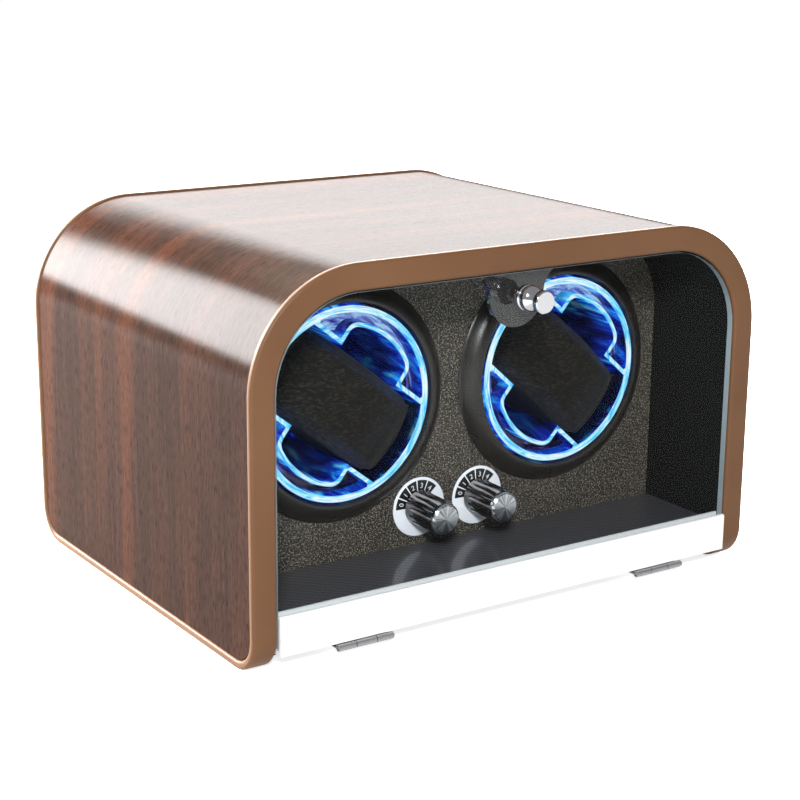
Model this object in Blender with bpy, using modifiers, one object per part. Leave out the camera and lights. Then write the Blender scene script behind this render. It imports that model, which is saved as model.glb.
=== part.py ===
"""Double watch winder box: wood shell, drop-down clear door, two motor-driven rotors and their controls.

Metres, +Z up, front facing -Y. Lengths called y are measured back from the front face of the edge trim.
"""

import math

import bmesh
import bpy
from mathutils import Matrix, Vector

# Case
WIDTH = 0.250
HEIGHT = 0.1556
DEPTH = 0.199
TOP_RADIUS = 0.0472
FOOT_RADIUS = 0.0151
TRIM_WIDTH = 0.0107
TRIM_THICK = 0.0035
TRIM_ROUND = 0.0009
TRIM_SEAM_Y = 0.091
TRIM_PROUD = 0.0008
BOARD_THICK = 0.0090
LINER_THICK = 0.0006
GAP = 0.0003

# Screws and circuit boards
SCREW_SHANK = 0.0015
SCREW_HEAD = 0.0032
SCREW_HOLE = 0.0020
CIRCUIT_THICK = 0.0016

# Floor, panels and back
BASE_BOTTOM = 0.0057
BASE_THICK = 0.012
BASE_FRONT_Y = 0.0059
FLOOR_THICK = 0.0007
PANEL_Y = 0.052
PANEL_THICK = 0.003
MOTOR_PLATE_Y = 0.110
MOTOR_PLATE_THICK = 0.003
BACK_Y = 0.1913
BACK_THICK = 0.003

# Door
DOOR_GAP = 0.0007
PANE_Y = 0.001
PANE_THICK = 0.003
RAIL_Y = (-0.0008, 0.0052)
RAIL_Z = (0.0073, 0.0234)
RAIL_SLOT_Z = 0.0095
HINGE_Y = -0.0009
HINGE_Z = 0.0055
HINGE_X = 0.0756
HINGE_LENGTH = 0.0254
KNUCKLE_RADIUS = 0.0015
KNUCKLE_BORE = 0.00095
PIN_RADIUS = 0.00065
MIDDLE_KNUCKLE = 0.0091
LEAF_THICK = 0.00055
KNOB_Z = 0.1341
KNOB_TIP_Y = -0.0122
KNOB_THREAD_Y = -0.0045
TAB_Y = 0.0064
TAB_THICK = 0.0022
TAB_RADIUS = 0.0133

# Rotors
ROTOR_X = 0.05565
ROTOR_Z = 0.0872
ROTOR_Y = (0.0465, 0.0965)
ROTOR_RADIUS = 0.0412
RING_THICK = 0.003
ROTOR_FLOOR = 0.003
SLOT_HALF = 0.019
LOBE_HALF = 0.0165
LOBE_RADIUS = 0.0324
WALL = 0.002
WEB_Y = (0.054, 0.057)
LEFT_TILT = math.radians(-38.0)
RIGHT_TILT = math.radians(-41.5)
PILLOW_Y = (0.0405, 0.0925)
PILLOW_CLEAR = 0.0007
BEZEL_RADIUS = 0.0510
BEZEL_BORE = 0.0423
BEZEL_SLEEVE = 0.0009
LIGHT_RING_RADIUS = 0.0520

# Drive
GEAR_TEETH = 28
PINION_TEETH = 7
MODULE = 0.0016
GEAR_Y = (0.116, 0.121)
SHAFT_RADIUS = 0.004
BEARING_RADIUS = 0.011
MOTOR_Y = (0.124, 0.158)
MOTOR_RADIUS = 0.0125

# Controls
DIAL_X = 0.0153
DIAL_Z = 0.0354
DIAL_RADIUS = 0.01305
DIAL_THICK = 0.0005
CONTROL_Y = (0.0305, 0.0506)
CAP_RADIUS = 0.0067
CONTROL_RADIUS = 0.0070
BUSHING_RADIUS = 0.0036
SPINDLE_RADIUS = 0.0024
ROTARY_DEEP = 0.0065

# Rear fittings
JACK_X = 0.075
JACK_BODY = 0.0042
JACK_FLANGE = 0.0058
JACK_BORE = 0.0030
JACK_DEEP = 0.0105
FLANGE_THICK = 0.0015
REAR_FITTING_Z = 0.034
SWITCH_X = -0.075
SWITCH_BODY = (0.0095, 0.0065)
SWITCH_DEEP = 0.011
SWITCH_BEZEL = (0.0105, 0.0075)
ROCKER = (0.0080, 0.0046)
ROCKER_TILT = math.radians(7)
ROCKER_PIVOT_DEEP = 0.0025
BACK_SCREW_X = 0.1085
BACK_SCREW_Z = (0.024, 0.104)

# The origin is under the middle of the bounding box, which runs from the door knob's tip to the rear trim.
FRONT_Y = -(DEPTH + KNOB_TIP_Y) / 2
INNER_HALF = WIDTH / 2 - TRIM_WIDTH
FLOOR_Z = BASE_BOTTOM + BASE_THICK + GAP
GEAR_CENTRES = MODULE * (GEAR_TEETH + PINION_TEETH) / 2
SIDES = (("left", -1, LEFT_TILT), ("right", 1, RIGHT_TILT))


# ---------------------------------------------------------------- scene helpers


def clear_scene():
    for item in list(bpy.data.objects):
        bpy.data.objects.remove(item, do_unlink=True)


def new_collection(name):
    collection = bpy.data.collections.new(name)
    bpy.context.scene.collection.children.link(collection)
    return collection


def material(name, colour, roughness, metallic=0.0, alpha=1.0):
    made = bpy.data.materials.new(name)
    made.use_nodes = True
    shader = made.node_tree.nodes["Principled BSDF"]
    shader.inputs["Base Color"].default_value = (*colour, 1.0)
    shader.inputs["Roughness"].default_value = roughness
    shader.inputs["Metallic"].default_value = metallic
    shader.inputs["Alpha"].default_value = alpha
    return made


def add(name, mesh, surface=None):
    """Links a mesh as an object: a part when it has a surface, a cutter when it has none."""
    item = bpy.data.objects.new(name, mesh)
    if surface is None:
        CUTTERS.objects.link(item)
        item.hide_render = True
        item.display_type = "WIRE"
    else:
        PARTS.objects.link(item)
        mesh.materials.append(surface)
    return item


def smooth(item, degrees=35):
    item.data.shade_smooth()
    item.data.set_sharp_from_angle(angle=math.radians(degrees))


def combine(target, other, operation="DIFFERENCE"):
    modifier = target.modifiers.new(operation.lower(), "BOOLEAN")
    modifier.operation = operation
    modifier.object = other


def pivot(name, x, y, z):
    """An empty on a joint's axis."""
    empty = bpy.data.objects.new(name, None)
    PARTS.objects.link(empty)
    empty.empty_display_size = 0.01
    empty.location = (x, FRONT_Y + y, z)
    return empty


def hang(empty, *items):
    for item in items:
        item.parent = empty
        item.matrix_parent_inverse = Matrix.Translation(-empty.location)


# ---------------------------------------------------------------- outlines


def arc(cx, cy, radius, start, end, steps):
    """Points round an arc, both ends included, angles in degrees."""
    points = []
    for i in range(steps + 1):
        a = math.radians(start + (end - start) * i / steps)
        points.append((cx + radius * math.cos(a), cy + radius * math.sin(a)))
    return points


def circle(cx, cy, radius, steps):
    return arc(cx, cy, radius, 0, 360, steps)[:-1]


def arch(inset, bottom, steps=12):
    """The case's front outline moved inwards, closed along the bottom."""
    half = WIDTH / 2 - inset
    radius = TOP_RADIUS - inset
    centre_x = half - radius
    centre_z = HEIGHT - TOP_RADIUS
    right = arc(centre_x, centre_z, radius, 0, 90, steps)
    left = arc(-centre_x, centre_z, radius, 90, 180, steps)
    return [(half, bottom), *right, *left, (-half, bottom)]


def arch_band(inset, thick, bottom, steps=12):
    """The strip between two arches, open at the bottom."""
    outer = arch(inset, bottom, steps)
    inner = arch(inset + thick, bottom, steps)
    return outer + inner[::-1]


def side_outline(inset, top):
    """The case's side outline moved inwards: round at both lower corners."""
    radius = FOOT_RADIUS - inset
    rear = arc(DEPTH - FOOT_RADIUS, FOOT_RADIUS, radius, 0, -90, 8)
    front = arc(FOOT_RADIUS, FOOT_RADIUS, radius, 270, 180, 8)
    return [(DEPTH - inset, top), *rear, *front, (inset, top)]


def toothed(teeth, root, tip, root_share, tip_share, first):
    """A ring of plain teeth; the first tooth's middle is at the angle first, in degrees."""
    points = []
    pitch = 360 / teeth
    for i in range(teeth):
        middle = first + pitch * i
        for radius, share in ((root, -root_share), (tip, -tip_share), (tip, tip_share), (root, root_share)):
            a = math.radians(middle + pitch * share / 2)
            points.append((radius * math.cos(a), radius * math.sin(a)))
    return points


def turn(points, angle, cx=0.0, cy=0.0):
    """Points turned about the origin, then moved."""
    c, s = math.cos(angle), math.sin(angle)
    return [(cx + x * c - y * s, cy + x * s + y * c) for x, y in points]


# ---------------------------------------------------------------- solids

PLANES = {
    "front": Matrix.Rotation(math.pi / 2, 4, "X"),
    "side": Matrix.Rotation(math.pi / 2, 4, "Z") @ Matrix.Rotation(math.pi / 2, 4, "X"),
    "top": Matrix.Identity(4),
}


def plate(name, loops, start, end, plane="front", surface=None):
    """A flat outline, with holes, made solid from start to end along the plane's normal."""
    curve = bpy.data.curves.new(name, "CURVE")
    curve.dimensions = "2D"
    curve.fill_mode = "BOTH"
    curve.extrude = (end - start) / 2
    for loop in loops:
        spline = curve.splines.new("POLY")
        spline.points.add(len(loop) - 1)
        for point, (x, y) in zip(spline.points, loop):
            point.co = (x, y, 0, 1)
        spline.use_cyclic_u = True
    drawn = bpy.data.objects.new(name + "_curve", curve)
    bpy.context.scene.collection.objects.link(drawn)
    middle = (start + end) / 2
    moves = {"front": (0, FRONT_Y + middle, 0), "side": (middle, FRONT_Y, 0), "top": (0, FRONT_Y, middle)}
    drawn.matrix_world = Matrix.Translation(moves[plane]) @ PLANES[plane]
    graph = bpy.context.evaluated_depsgraph_get()
    mesh = bpy.data.meshes.new_from_object(drawn.evaluated_get(graph))
    mesh.name = name
    shape = bmesh.new()
    shape.from_mesh(mesh)
    bmesh.ops.remove_doubles(shape, verts=shape.verts, dist=1e-6)
    bmesh.ops.recalc_face_normals(shape, faces=shape.faces)
    shape.to_mesh(mesh)
    shape.free()
    item = add(name, mesh, surface)
    item.matrix_world = drawn.matrix_world.copy()
    bpy.data.objects.remove(drawn, do_unlink=True)
    return item


def block(name, xs, ys, zs, surface=None):
    """A box between two values on each axis, y measured from the front face."""
    mesh = bpy.data.meshes.new(name)
    shape = bmesh.new()
    scale = Matrix.Diagonal((xs[1] - xs[0], ys[1] - ys[0], zs[1] - zs[0], 1))
    bmesh.ops.create_cube(shape, size=1, matrix=scale)
    shape.to_mesh(mesh)
    shape.free()
    item = add(name, mesh, surface)
    item.location = (sum(xs) / 2, FRONT_Y + sum(ys) / 2, sum(zs) / 2)
    return item


def spun(name, profile, x, z, steps=32, surface=None, bored=False):
    """A turned piece on an axis along Y. The profile is (radius, y), front to rear down its outer side."""
    mesh = bpy.data.meshes.new(name)
    points = [(radius, 0, -y) for radius, y in profile]
    edges = [(i, i + 1) for i in range(len(points) - 1)]
    if bored:
        edges.append((len(points) - 1, 0))
    mesh.from_pydata(points, edges, [])
    item = add(name, mesh, surface)
    item.matrix_world = Matrix.Translation((x, FRONT_Y, z)) @ PLANES["front"]
    lathe = item.modifiers.new("turned", "SCREW")
    lathe.axis = "Z"
    lathe.steps = steps
    lathe.render_steps = steps
    lathe.use_merge_vertices = True
    lathe.merge_threshold = 0.00001
    lathe.use_smooth_shade = True
    return item


def rod(name, radius, y0, y1, x, z, steps=16, surface=None):
    return spun(name, [(0, y0), (radius, y0), (radius, y1), (0, y1)], x, z, steps, surface)


def tube(name, radius, bore, y0, y1, x, z, steps=24, surface=None):
    return spun(name, [(bore, y0), (radius, y0), (radius, y1), (bore, y1)], x, z, steps, surface, bored=True)


def screw(name, x, z, tip_y, head_y, surface):
    """A pan-head screw along Y, its tip towards the front and its head's inner face at head_y."""
    shank, head = SCREW_SHANK, SCREW_HEAD
    crown_y = head_y + head * 0.45
    profile = [(0, tip_y), (shank, tip_y), (shank, head_y), (head, head_y), (head, head_y + head * 0.25),
               (head * 0.75, crown_y), (0, crown_y)]
    return spun(name, profile, x, z, 8, surface)


# ---------------------------------------------------------------- case


def trim_path(seam_y, rear):
    """Centre line of one edge strip: bottom seam, up one end face, over the top, down to the other seam."""
    half = WIDTH / 2 - TRIM_WIDTH / 2
    deep = TRIM_THICK / 2
    guard = 0.0002
    bend = FOOT_RADIUS - deep
    turn_radius = TOP_RADIUS - TRIM_WIDTH / 2
    centre_x = WIDTH / 2 - TOP_RADIUS
    centre_z = HEIGHT - TOP_RADIUS
    points = [(-half, seam_y, deep), (-half, FOOT_RADIUS + guard, deep)]
    points += [(-half, y, z) for y, z in arc(FOOT_RADIUS, FOOT_RADIUS, bend, 270, 180, 8)]
    points += [(-half, deep, FOOT_RADIUS + guard), (-half, deep, centre_z - guard)]
    points += [(x, deep, z) for x, z in arc(-centre_x, centre_z, turn_radius, 180, 90, 12)]
    points.append((-centre_x + guard, deep, HEIGHT - TRIM_WIDTH / 2))
    points += [(-x, y, z) for x, y, z in reversed(points)]
    if rear:
        points = [(x, DEPTH - y, z) for x, y, z in points]
    return points


def trim(name, seam_y, rear):
    """A moulded strip of constant section with rounded edges, swept along its centre line."""
    half_width = TRIM_WIDTH / 2 - TRIM_ROUND
    half_thick = TRIM_THICK / 2 - TRIM_ROUND
    corners = ((half_width, half_thick, 0), (-half_width, half_thick, 90),
               (-half_width, -half_thick, 180), (half_width, -half_thick, 270))
    section = []
    for cx, cy, first in corners:
        section += arc(cx, cy, TRIM_ROUND, first, first + 90, 1)
    path = [Vector(point) for point in trim_path(seam_y, rear)]
    mesh = bpy.data.meshes.new(name)
    shape = bmesh.new()
    facing = 1 if rear else -1
    across = Vector((1, 0, 0))
    loops = []
    for i, point in enumerate(path):
        before = path[max(i - 1, 0)]
        after = path[min(i + 1, len(path) - 1)]
        along = ((point - before).normalized() + (after - point).normalized()).normalized()
        across = (across - across.dot(along) * along).normalized()
        outward = across.cross(along) * facing * -1
        loops.append([shape.verts.new(point + across * u + outward * v) for u, v in section])
    count = len(section)
    for a, b in zip(loops, loops[1:]):
        for i in range(count):
            j = (i + 1) % count
            shape.faces.new((a[i], a[j], b[j], b[i]))
    shape.faces.new(loops[0])
    shape.faces.new(loops[-1])
    bmesh.ops.recalc_face_normals(shape, faces=shape.faces)
    shape.to_mesh(mesh)
    shape.free()
    item = add(name, mesh, TRIM_BROWN)
    item.location = (0, FRONT_Y, 0)
    smooth(item, 50)
    return item


def make_case():
    """The wood shell with its two edge strips and lining, and the base board with its floor sheet."""
    inset = TRIM_THICK + GAP
    shell = plate("wood_shell", [arch_band(TRIM_PROUD, BOARD_THICK, 0)], 0, DEPTH, "front", WALNUT)
    profile = plate("shell_side_profile", [side_outline(inset, HEIGHT + 0.01)], -WIDTH, WIDTH, "side")
    combine(shell, profile, "INTERSECT")
    smooth(shell)
    trim("front_edge_trim", TRIM_SEAM_Y - GAP / 2, rear=False)
    trim("rear_edge_trim", DEPTH - TRIM_SEAM_Y - GAP / 2, rear=True)

    liner_inset = TRIM_WIDTH - LINER_THICK
    liner = plate("inner_liner", [arch_band(liner_inset, LINER_THICK, FLOOR_Z + GAP)],
                  inset, PANEL_Y + PANEL_THICK, "front", BLACK_LINING)
    smooth(liner)

    half = INNER_HALF - GAP
    base_z = (BASE_BOTTOM, BASE_BOTTOM + BASE_THICK)
    block("base_board", (-half, half), (BASE_FRONT_Y, BACK_Y - GAP), base_z, BLACK_BOARD)
    block("floor_liner", (-half, half), (BASE_FRONT_Y, PANEL_Y - GAP),
          (FLOOR_Z, FLOOR_Z + FLOOR_THICK), CARBON_SHEET)


def make_back():
    """The rear cover with its inlet and switch cut-outs, and its screws."""
    outline = arch(TRIM_WIDTH + GAP, BASE_BOTTOM)
    jack = circle(JACK_X, REAR_FITTING_Z, JACK_BODY + GAP, 14)
    w, h = SWITCH_BODY
    slot = [(SWITCH_X - w - GAP, REAR_FITTING_Z - h - GAP), (SWITCH_X + w + GAP, REAR_FITTING_Z - h - GAP),
            (SWITCH_X + w + GAP, REAR_FITTING_Z + h + GAP), (SWITCH_X - w - GAP, REAR_FITTING_Z + h + GAP)]
    places = [(side * BACK_SCREW_X, z) for side in (-1, 1) for z in BACK_SCREW_Z]
    holes = [circle(x, z, SCREW_HOLE, 8) for x, z in places]
    plate("back_panel", [outline, jack, slot, *holes], BACK_Y, BACK_Y + BACK_THICK, "front", BLACK_BOARD)
    for number, (x, z) in enumerate(places, 1):
        screw(f"back_panel_screw_{number}", x, z, BACK_Y, BACK_Y + BACK_THICK + GAP, DARK_STEEL)


def make_rear_fittings():
    """The power inlet, and the light switch with its rocker pressed in at its top, its lit position."""
    rear = BACK_Y + BACK_THICK
    end = rear - JACK_DEEP
    face = rear + FLANGE_THICK
    jack = [(0, end), (JACK_BODY, end), (JACK_BODY, rear + GAP), (JACK_FLANGE, rear + GAP),
            (JACK_FLANGE, face - 0.0003), (JACK_FLANGE - 0.0004, face), (JACK_BORE, face),
            (JACK_BORE, end + 0.0020), (0.0010, end + 0.0020), (0.0010, rear), (0, rear)]
    spun("dc_jack", jack, JACK_X, REAR_FITTING_Z, 16, GLOSS_BLACK)

    w, h = SWITCH_BEZEL
    bw, bh = SWITCH_BODY
    x, z = SWITCH_X, REAR_FITTING_Z
    end = rear - SWITCH_DEEP
    well_w, well_h = ROCKER[0] + 0.0005, ROCKER[1] + 0.0006
    body = block("light_switch", (x - bw, x + bw), (end, face - 0.0005), (z - bh, z + bh), GLOSS_BLACK)
    bezel = block("switch_bezel", (x - w, x + w), (rear + GAP, face), (z - h, z + h))
    well = block("switch_well", (x - well_w, x + well_w), (end + 0.0015, face + 0.01),
                 (z - well_h, z + well_h))
    combine(body, bezel, "UNION")
    combine(body, well)

    outline = [(rear - 0.0055, z - 0.0026), (rear + 0.0012, z - ROCKER[1]), (rear + 0.0004, z),
               (rear + 0.0012, z + ROCKER[1]), (rear - 0.0055, z + 0.0026)]
    rocker = plate("light_rocker", [outline[::-1]], x - ROCKER[0], x + ROCKER[0], "side", GLOSS_BLACK)
    hinge = pivot("light_rocker_pivot", x, rear - ROCKER_PIVOT_DEEP, z)
    tilt = Matrix.Translation(hinge.location) @ Matrix.Rotation(ROCKER_TILT, 4, "X")
    rocker.matrix_world = tilt @ Matrix.Translation(-hinge.location) @ rocker.matrix_world
    hang(hinge, rocker)


# ---------------------------------------------------------------- inside the case


def make_panels():
    """The front panel round the rotors and controls, and the plate that carries the drives."""
    outline = arch(TRIM_WIDTH + GAP, FLOOR_Z)
    holes = []
    for _, side, _ in SIDES:
        holes.append(circle(side * ROTOR_X, ROTOR_Z, BEZEL_BORE + BEZEL_SLEEVE + GAP, 36))
        holes.append(circle(side * DIAL_X, DIAL_Z, BUSHING_RADIUS + GAP, 12))
    panel = plate("front_panel", [outline, *holes], PANEL_Y, PANEL_Y + PANEL_THICK, "front", PEBBLED_BLACK)
    smooth(panel)

    outline = arch(TRIM_WIDTH + GAP, FLOOR_Z)
    holes = [circle(side * ROTOR_X, ROTOR_Z, BEARING_RADIUS + GAP, 24) for _, side, _ in SIDES]
    mount = plate("motor_plate", [outline, *holes], MOTOR_PLATE_Y, MOTOR_PLATE_Y + MOTOR_PLATE_THICK,
                  "front", BLACK_BOARD)
    smooth(mount)


def make_bezel(name, side):
    """Smooth raised collar round a rotor opening, with a sleeve through the panel."""
    face = PANEL_Y - GAP
    end = PANEL_Y + PANEL_THICK + 0.004
    bore = BEZEL_BORE
    sleeve = bore + BEZEL_SLEEVE
    profile = [(bore, 0.0464), (bore + 0.0010, 0.0458), (bore + 0.0028, 0.0465), (bore + 0.0056, 0.0490),
               (BEZEL_RADIUS, face - 0.0004), (BEZEL_RADIUS, face), (sleeve, face), (sleeve, end), (bore, end)]
    spun(name, profile, side * ROTOR_X, ROTOR_Z, 36, SATIN_BLACK, bored=True)


def make_light_ring(name, side):
    y = PANEL_Y + PANEL_THICK + GAP
    bore = BEZEL_BORE + BEZEL_SLEEVE + GAP
    tube(name, LIGHT_RING_RADIUS, bore, y, y + CIRCUIT_THICK, side * ROTOR_X, ROTOR_Z, 30, CIRCUIT_GREEN)


def make_catch():
    """The round stop that the door closes against, and the magnet that holds it there."""
    roof = HEIGHT - TRIM_WIDTH - GAP
    rise = roof - KNOB_Z
    right = arc(TAB_RADIUS + rise, KNOB_Z, rise, 90, 180, 6)
    left = arc(-TAB_RADIUS - rise, KNOB_Z, rise, 0, 90, 6)
    bottom = arc(0, KNOB_Z, TAB_RADIUS, 0, -180, 16)
    tab = plate("catch_tab", [right + bottom[1:-1] + left], TAB_Y, TAB_Y + TAB_THICK, "front", GREY_GLOSS)
    flange = block("catch_flange", (-0.014, 0.014), (TAB_Y + TAB_THICK / 2, TAB_Y + 0.018),
                   (roof - 0.002, roof))
    combine(tab, flange, "UNION")
    smooth(tab)
    back = TAB_Y + TAB_THICK + GAP
    rod("catch_magnet", 0.005, back, back + 0.002, 0, KNOB_Z, 24, NICKEL)


# ---------------------------------------------------------------- door


def make_door():
    """The clear pane in its bottom rail, with its knob and hinges."""
    hinge = pivot("door_pivot", 0, HINGE_Y, HINGE_Z)
    outline = arch(TRIM_WIDTH + DOOR_GAP, RAIL_SLOT_Z + GAP)
    hole = circle(0, KNOB_Z, SCREW_HOLE, 16)
    pane = plate("door_pane", [outline, hole], PANE_Y, PANE_Y + PANE_THICK, "front", CLEAR_ACRYLIC)
    smooth(pane)

    slot_y = (PANE_Y - GAP, PANE_Y + PANE_THICK + GAP)
    front, back = RAIL_Y
    low, high = RAIL_Z
    section = [(front, low), (back, low), (back, high), (slot_y[1], high), (slot_y[1], RAIL_SLOT_Z),
               (slot_y[0], RAIL_SLOT_Z), (slot_y[0], high), (front + 0.0005, high), (front, high - 0.0005)]
    half = INNER_HALF - DOOR_GAP
    rail = plate("door_rail", [section], -half, half, "side", SILVER)

    knob = make_door_knob()
    rear = PANE_Y + PANE_THICK + GAP
    fixing = screw("door_knob_screw", 0, KNOB_Z, KNOB_THREAD_Y + 0.0005, rear, NICKEL)
    hang(hinge, pane, rail, knob, fixing)
    make_hinges(hinge)


def make_door_knob():
    face = PANE_Y - GAP
    tip = KNOB_TIP_Y
    profile = [(0, tip), (0.0043, tip), (0.0046, tip + 0.0004), (0.0046, tip + 0.0026),
               (0.0026, tip + 0.0046), (0.0024, tip + 0.0060), (0.0046, tip + 0.0076),
               (0.0054, tip + 0.0094), (0.0048, tip + 0.0112), (0.0052, tip + 0.0118),
               (0.0052, face), (0.0018, face), (0.0018, KNOB_THREAD_Y), (0, KNOB_THREAD_Y)]
    return spun("door_knob", profile, 0, KNOB_Z, 20, CHROME)


def knuckle(name, x0, x1, surface=None):
    """A hinge knuckle: a short tube along X on the door's axis."""
    loops = [circle(HINGE_Y, HINGE_Z, KNUCKLE_RADIUS, 14), circle(HINGE_Y, HINGE_Z, KNUCKLE_BORE, 10)]
    return plate(name, loops, x0, x1, "side", surface)


def make_hinges(door_pivot):
    half = HINGE_LENGTH / 2
    middle = MIDDLE_KNUCKLE / 2
    wall_y = HINGE_Y + (KNUCKLE_BORE + KNUCKLE_RADIUS) / 2
    door_leaf_z = (HINGE_Z + KNUCKLE_RADIUS - LEAF_THICK, HINGE_Z + KNUCKLE_RADIUS)
    case_leaf_z = (BASE_BOTTOM - GAP - LEAF_THICK, BASE_BOTTOM - GAP)
    for name, side, _ in SIDES:
        x = side * HINGE_X
        leaf = knuckle(f"hinge_door_leaf_{name}", x - middle, x + middle, STEEL)
        tongue = block(f"door_tongue_{name}", (x - middle, x + middle), (HINGE_Y, 0.0020), door_leaf_z)
        wing = block(f"door_wing_{name}", (x - half, x + half), (0.0010, RAIL_Y[1] - 0.0002), door_leaf_z)
        combine(leaf, tongue, "UNION")
        combine(leaf, wing, "UNION")
        hang(door_pivot, leaf)

        fixed = knuckle(f"hinge_case_leaf_{name}", x - half, x + half, STEEL)
        notch = block(f"case_notch_{name}", (x - middle - GAP, x + middle + GAP), (HINGE_Y - 0.005, 0.0010),
                      (HINGE_Z - 0.004, HINGE_Z + 0.004))
        wing = block(f"case_wing_{name}", (x - half, x + half), (wall_y, 0.018), case_leaf_z)
        combine(fixed, wing, "UNION")
        combine(fixed, notch)
        pin = circle(HINGE_Y, HINGE_Z, PIN_RADIUS, 10)
        plate(f"hinge_pin_{name}", [pin], x - half + GAP, x + half - GAP, "side", STEEL)


# ---------------------------------------------------------------- rotors


def pocket_outline():
    """The watch pocket: a straight channel across the rotor with a round-ended lobe on each side."""
    rim = ROTOR_RADIUS - RING_THICK - GAP
    end = math.degrees(math.asin(SLOT_HALF / rim))
    lobe = math.degrees(math.acos(LOBE_HALF / LOBE_RADIUS))
    half = [(LOBE_HALF, SLOT_HALF), *arc(0, 0, LOBE_RADIUS, lobe, 180 - lobe, 8), (-LOBE_HALF, SLOT_HALF)]
    half += arc(0, 0, rim, 180 - end, 180 + end, 6)
    return half + [(-x, -y) for x, y in half]


def web_outline(sign):
    """The recess between a lobe's wall and the outer ring, on one side of the channel."""
    rim = ROTOR_RADIUS - RING_THICK
    edge = SLOT_HALF + WALL
    wall_x = LOBE_HALF + WALL
    wall_radius = LOBE_RADIUS + WALL
    start = math.degrees(math.asin(edge / rim))
    lobe = math.degrees(math.acos(wall_x / wall_radius))
    points = arc(0, 0, rim, start, 180 - start, 12)
    points += [(-wall_x, edge), *arc(0, 0, wall_radius, 180 - lobe, lobe, 8), (wall_x, edge)]
    return [(x * sign, y * sign) for x, y in points]


def make_rotor(name, side, tilt):
    """A clear drum that holds the pillow, its hub, and the pillow itself."""
    x = side * ROTOR_X
    front, back = ROTOR_Y
    outline = [circle(x, ROTOR_Z, ROTOR_RADIUS, 48)]
    cup = plate(f"rotor_cup_{name}", outline, front, back, "front", CLEAR_ACRYLIC)
    pocket = turn(pocket_outline(), tilt, x, ROTOR_Z)
    combine(cup, plate(f"pocket_{name}", [pocket], front - 0.01, back - ROTOR_FLOOR))
    for sign in (1, -1):
        web = turn(web_outline(sign), tilt, x, ROTOR_Z)
        combine(cup, plate(f"web_front_{name}_{sign}", [web], front - 0.01, WEB_Y[0]))
        combine(cup, plate(f"web_rear_{name}_{sign}", [web], WEB_Y[1], back + 0.01))
    smooth(cup)

    rear = back + GAP
    hub = [(0, rear), (0.015, rear), (0.015, rear + 0.0025), (0.0085, rear + 0.0040), (0.0085, 0.1055),
           (SHAFT_RADIUS, 0.1055), (SHAFT_RADIUS, 0.1265), (0, 0.1265)]
    hub = spun(f"rotor_hub_{name}", hub, x, ROTOR_Z, 20, WHITE_NYLON)
    bore = SHAFT_RADIUS + GAP
    plate_y = MOTOR_PLATE_Y
    bearing = [(bore, 0.1066), (0.0130, 0.1066), (0.0130, plate_y - GAP), (BEARING_RADIUS, plate_y - GAP),
               (BEARING_RADIUS, 0.1140), (bore, 0.1140)]
    spun(f"rotor_bearing_{name}", bearing, x, ROTOR_Z, 20, STEEL, bored=True)

    pitch_radius = MODULE * GEAR_TEETH / 2
    teeth = toothed(GEAR_TEETH, pitch_radius - MODULE * 1.2, pitch_radius + MODULE * 0.8, 0.60, 0.24, -90)
    gear = plate(f"drive_gear_{name}", [turn(teeth, 0, x, ROTOR_Z)], *GEAR_Y, "front", WHITE_NYLON)
    combine(gear, rod(f"gear_boss_{name}", 0.008, GEAR_Y[1] - 0.001, 0.125, x, ROTOR_Z, 24), "UNION")
    combine(gear, rod(f"gear_bore_{name}", bore, 0.11, 0.13, x, ROTOR_Z, 16))
    axle = pivot(f"rotor_{name}_axle", x, front, ROTOR_Z)
    hang(axle, cup, hub, gear)

    pillow = make_pillow(name, x, tilt)
    slide = pivot(f"pillow_{name}_slide", x, PILLOW_Y[0], ROTOR_Z)
    hang(slide, pillow)


def make_pillow(name, x, tilt):
    """A firm leather-covered cushion with a round-edged front and ends that follow the rotor's rim."""
    half = SLOT_HALF - PILLOW_CLEAR
    rim = ROTOR_RADIUS - RING_THICK - GAP - PILLOW_CLEAR
    end = math.degrees(math.asin(half / rim))
    outline = arc(0, 0, rim, -end, end, 6) + arc(0, 0, rim, 180 - end, 180 + end, 6)
    pillow = plate(f"pillow_{name}", [turn(outline, tilt, x, ROTOR_Z)], *PILLOW_Y, "front", BLACK_LEATHER)
    bevel = pillow.modifiers.new("soft_edges", "BEVEL")
    bevel.width = 0.0045
    bevel.segments = 3
    bevel.limit_method = "ANGLE"
    bevel.angle_limit = math.radians(60)
    smooth(pillow, 60)
    return pillow


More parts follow.
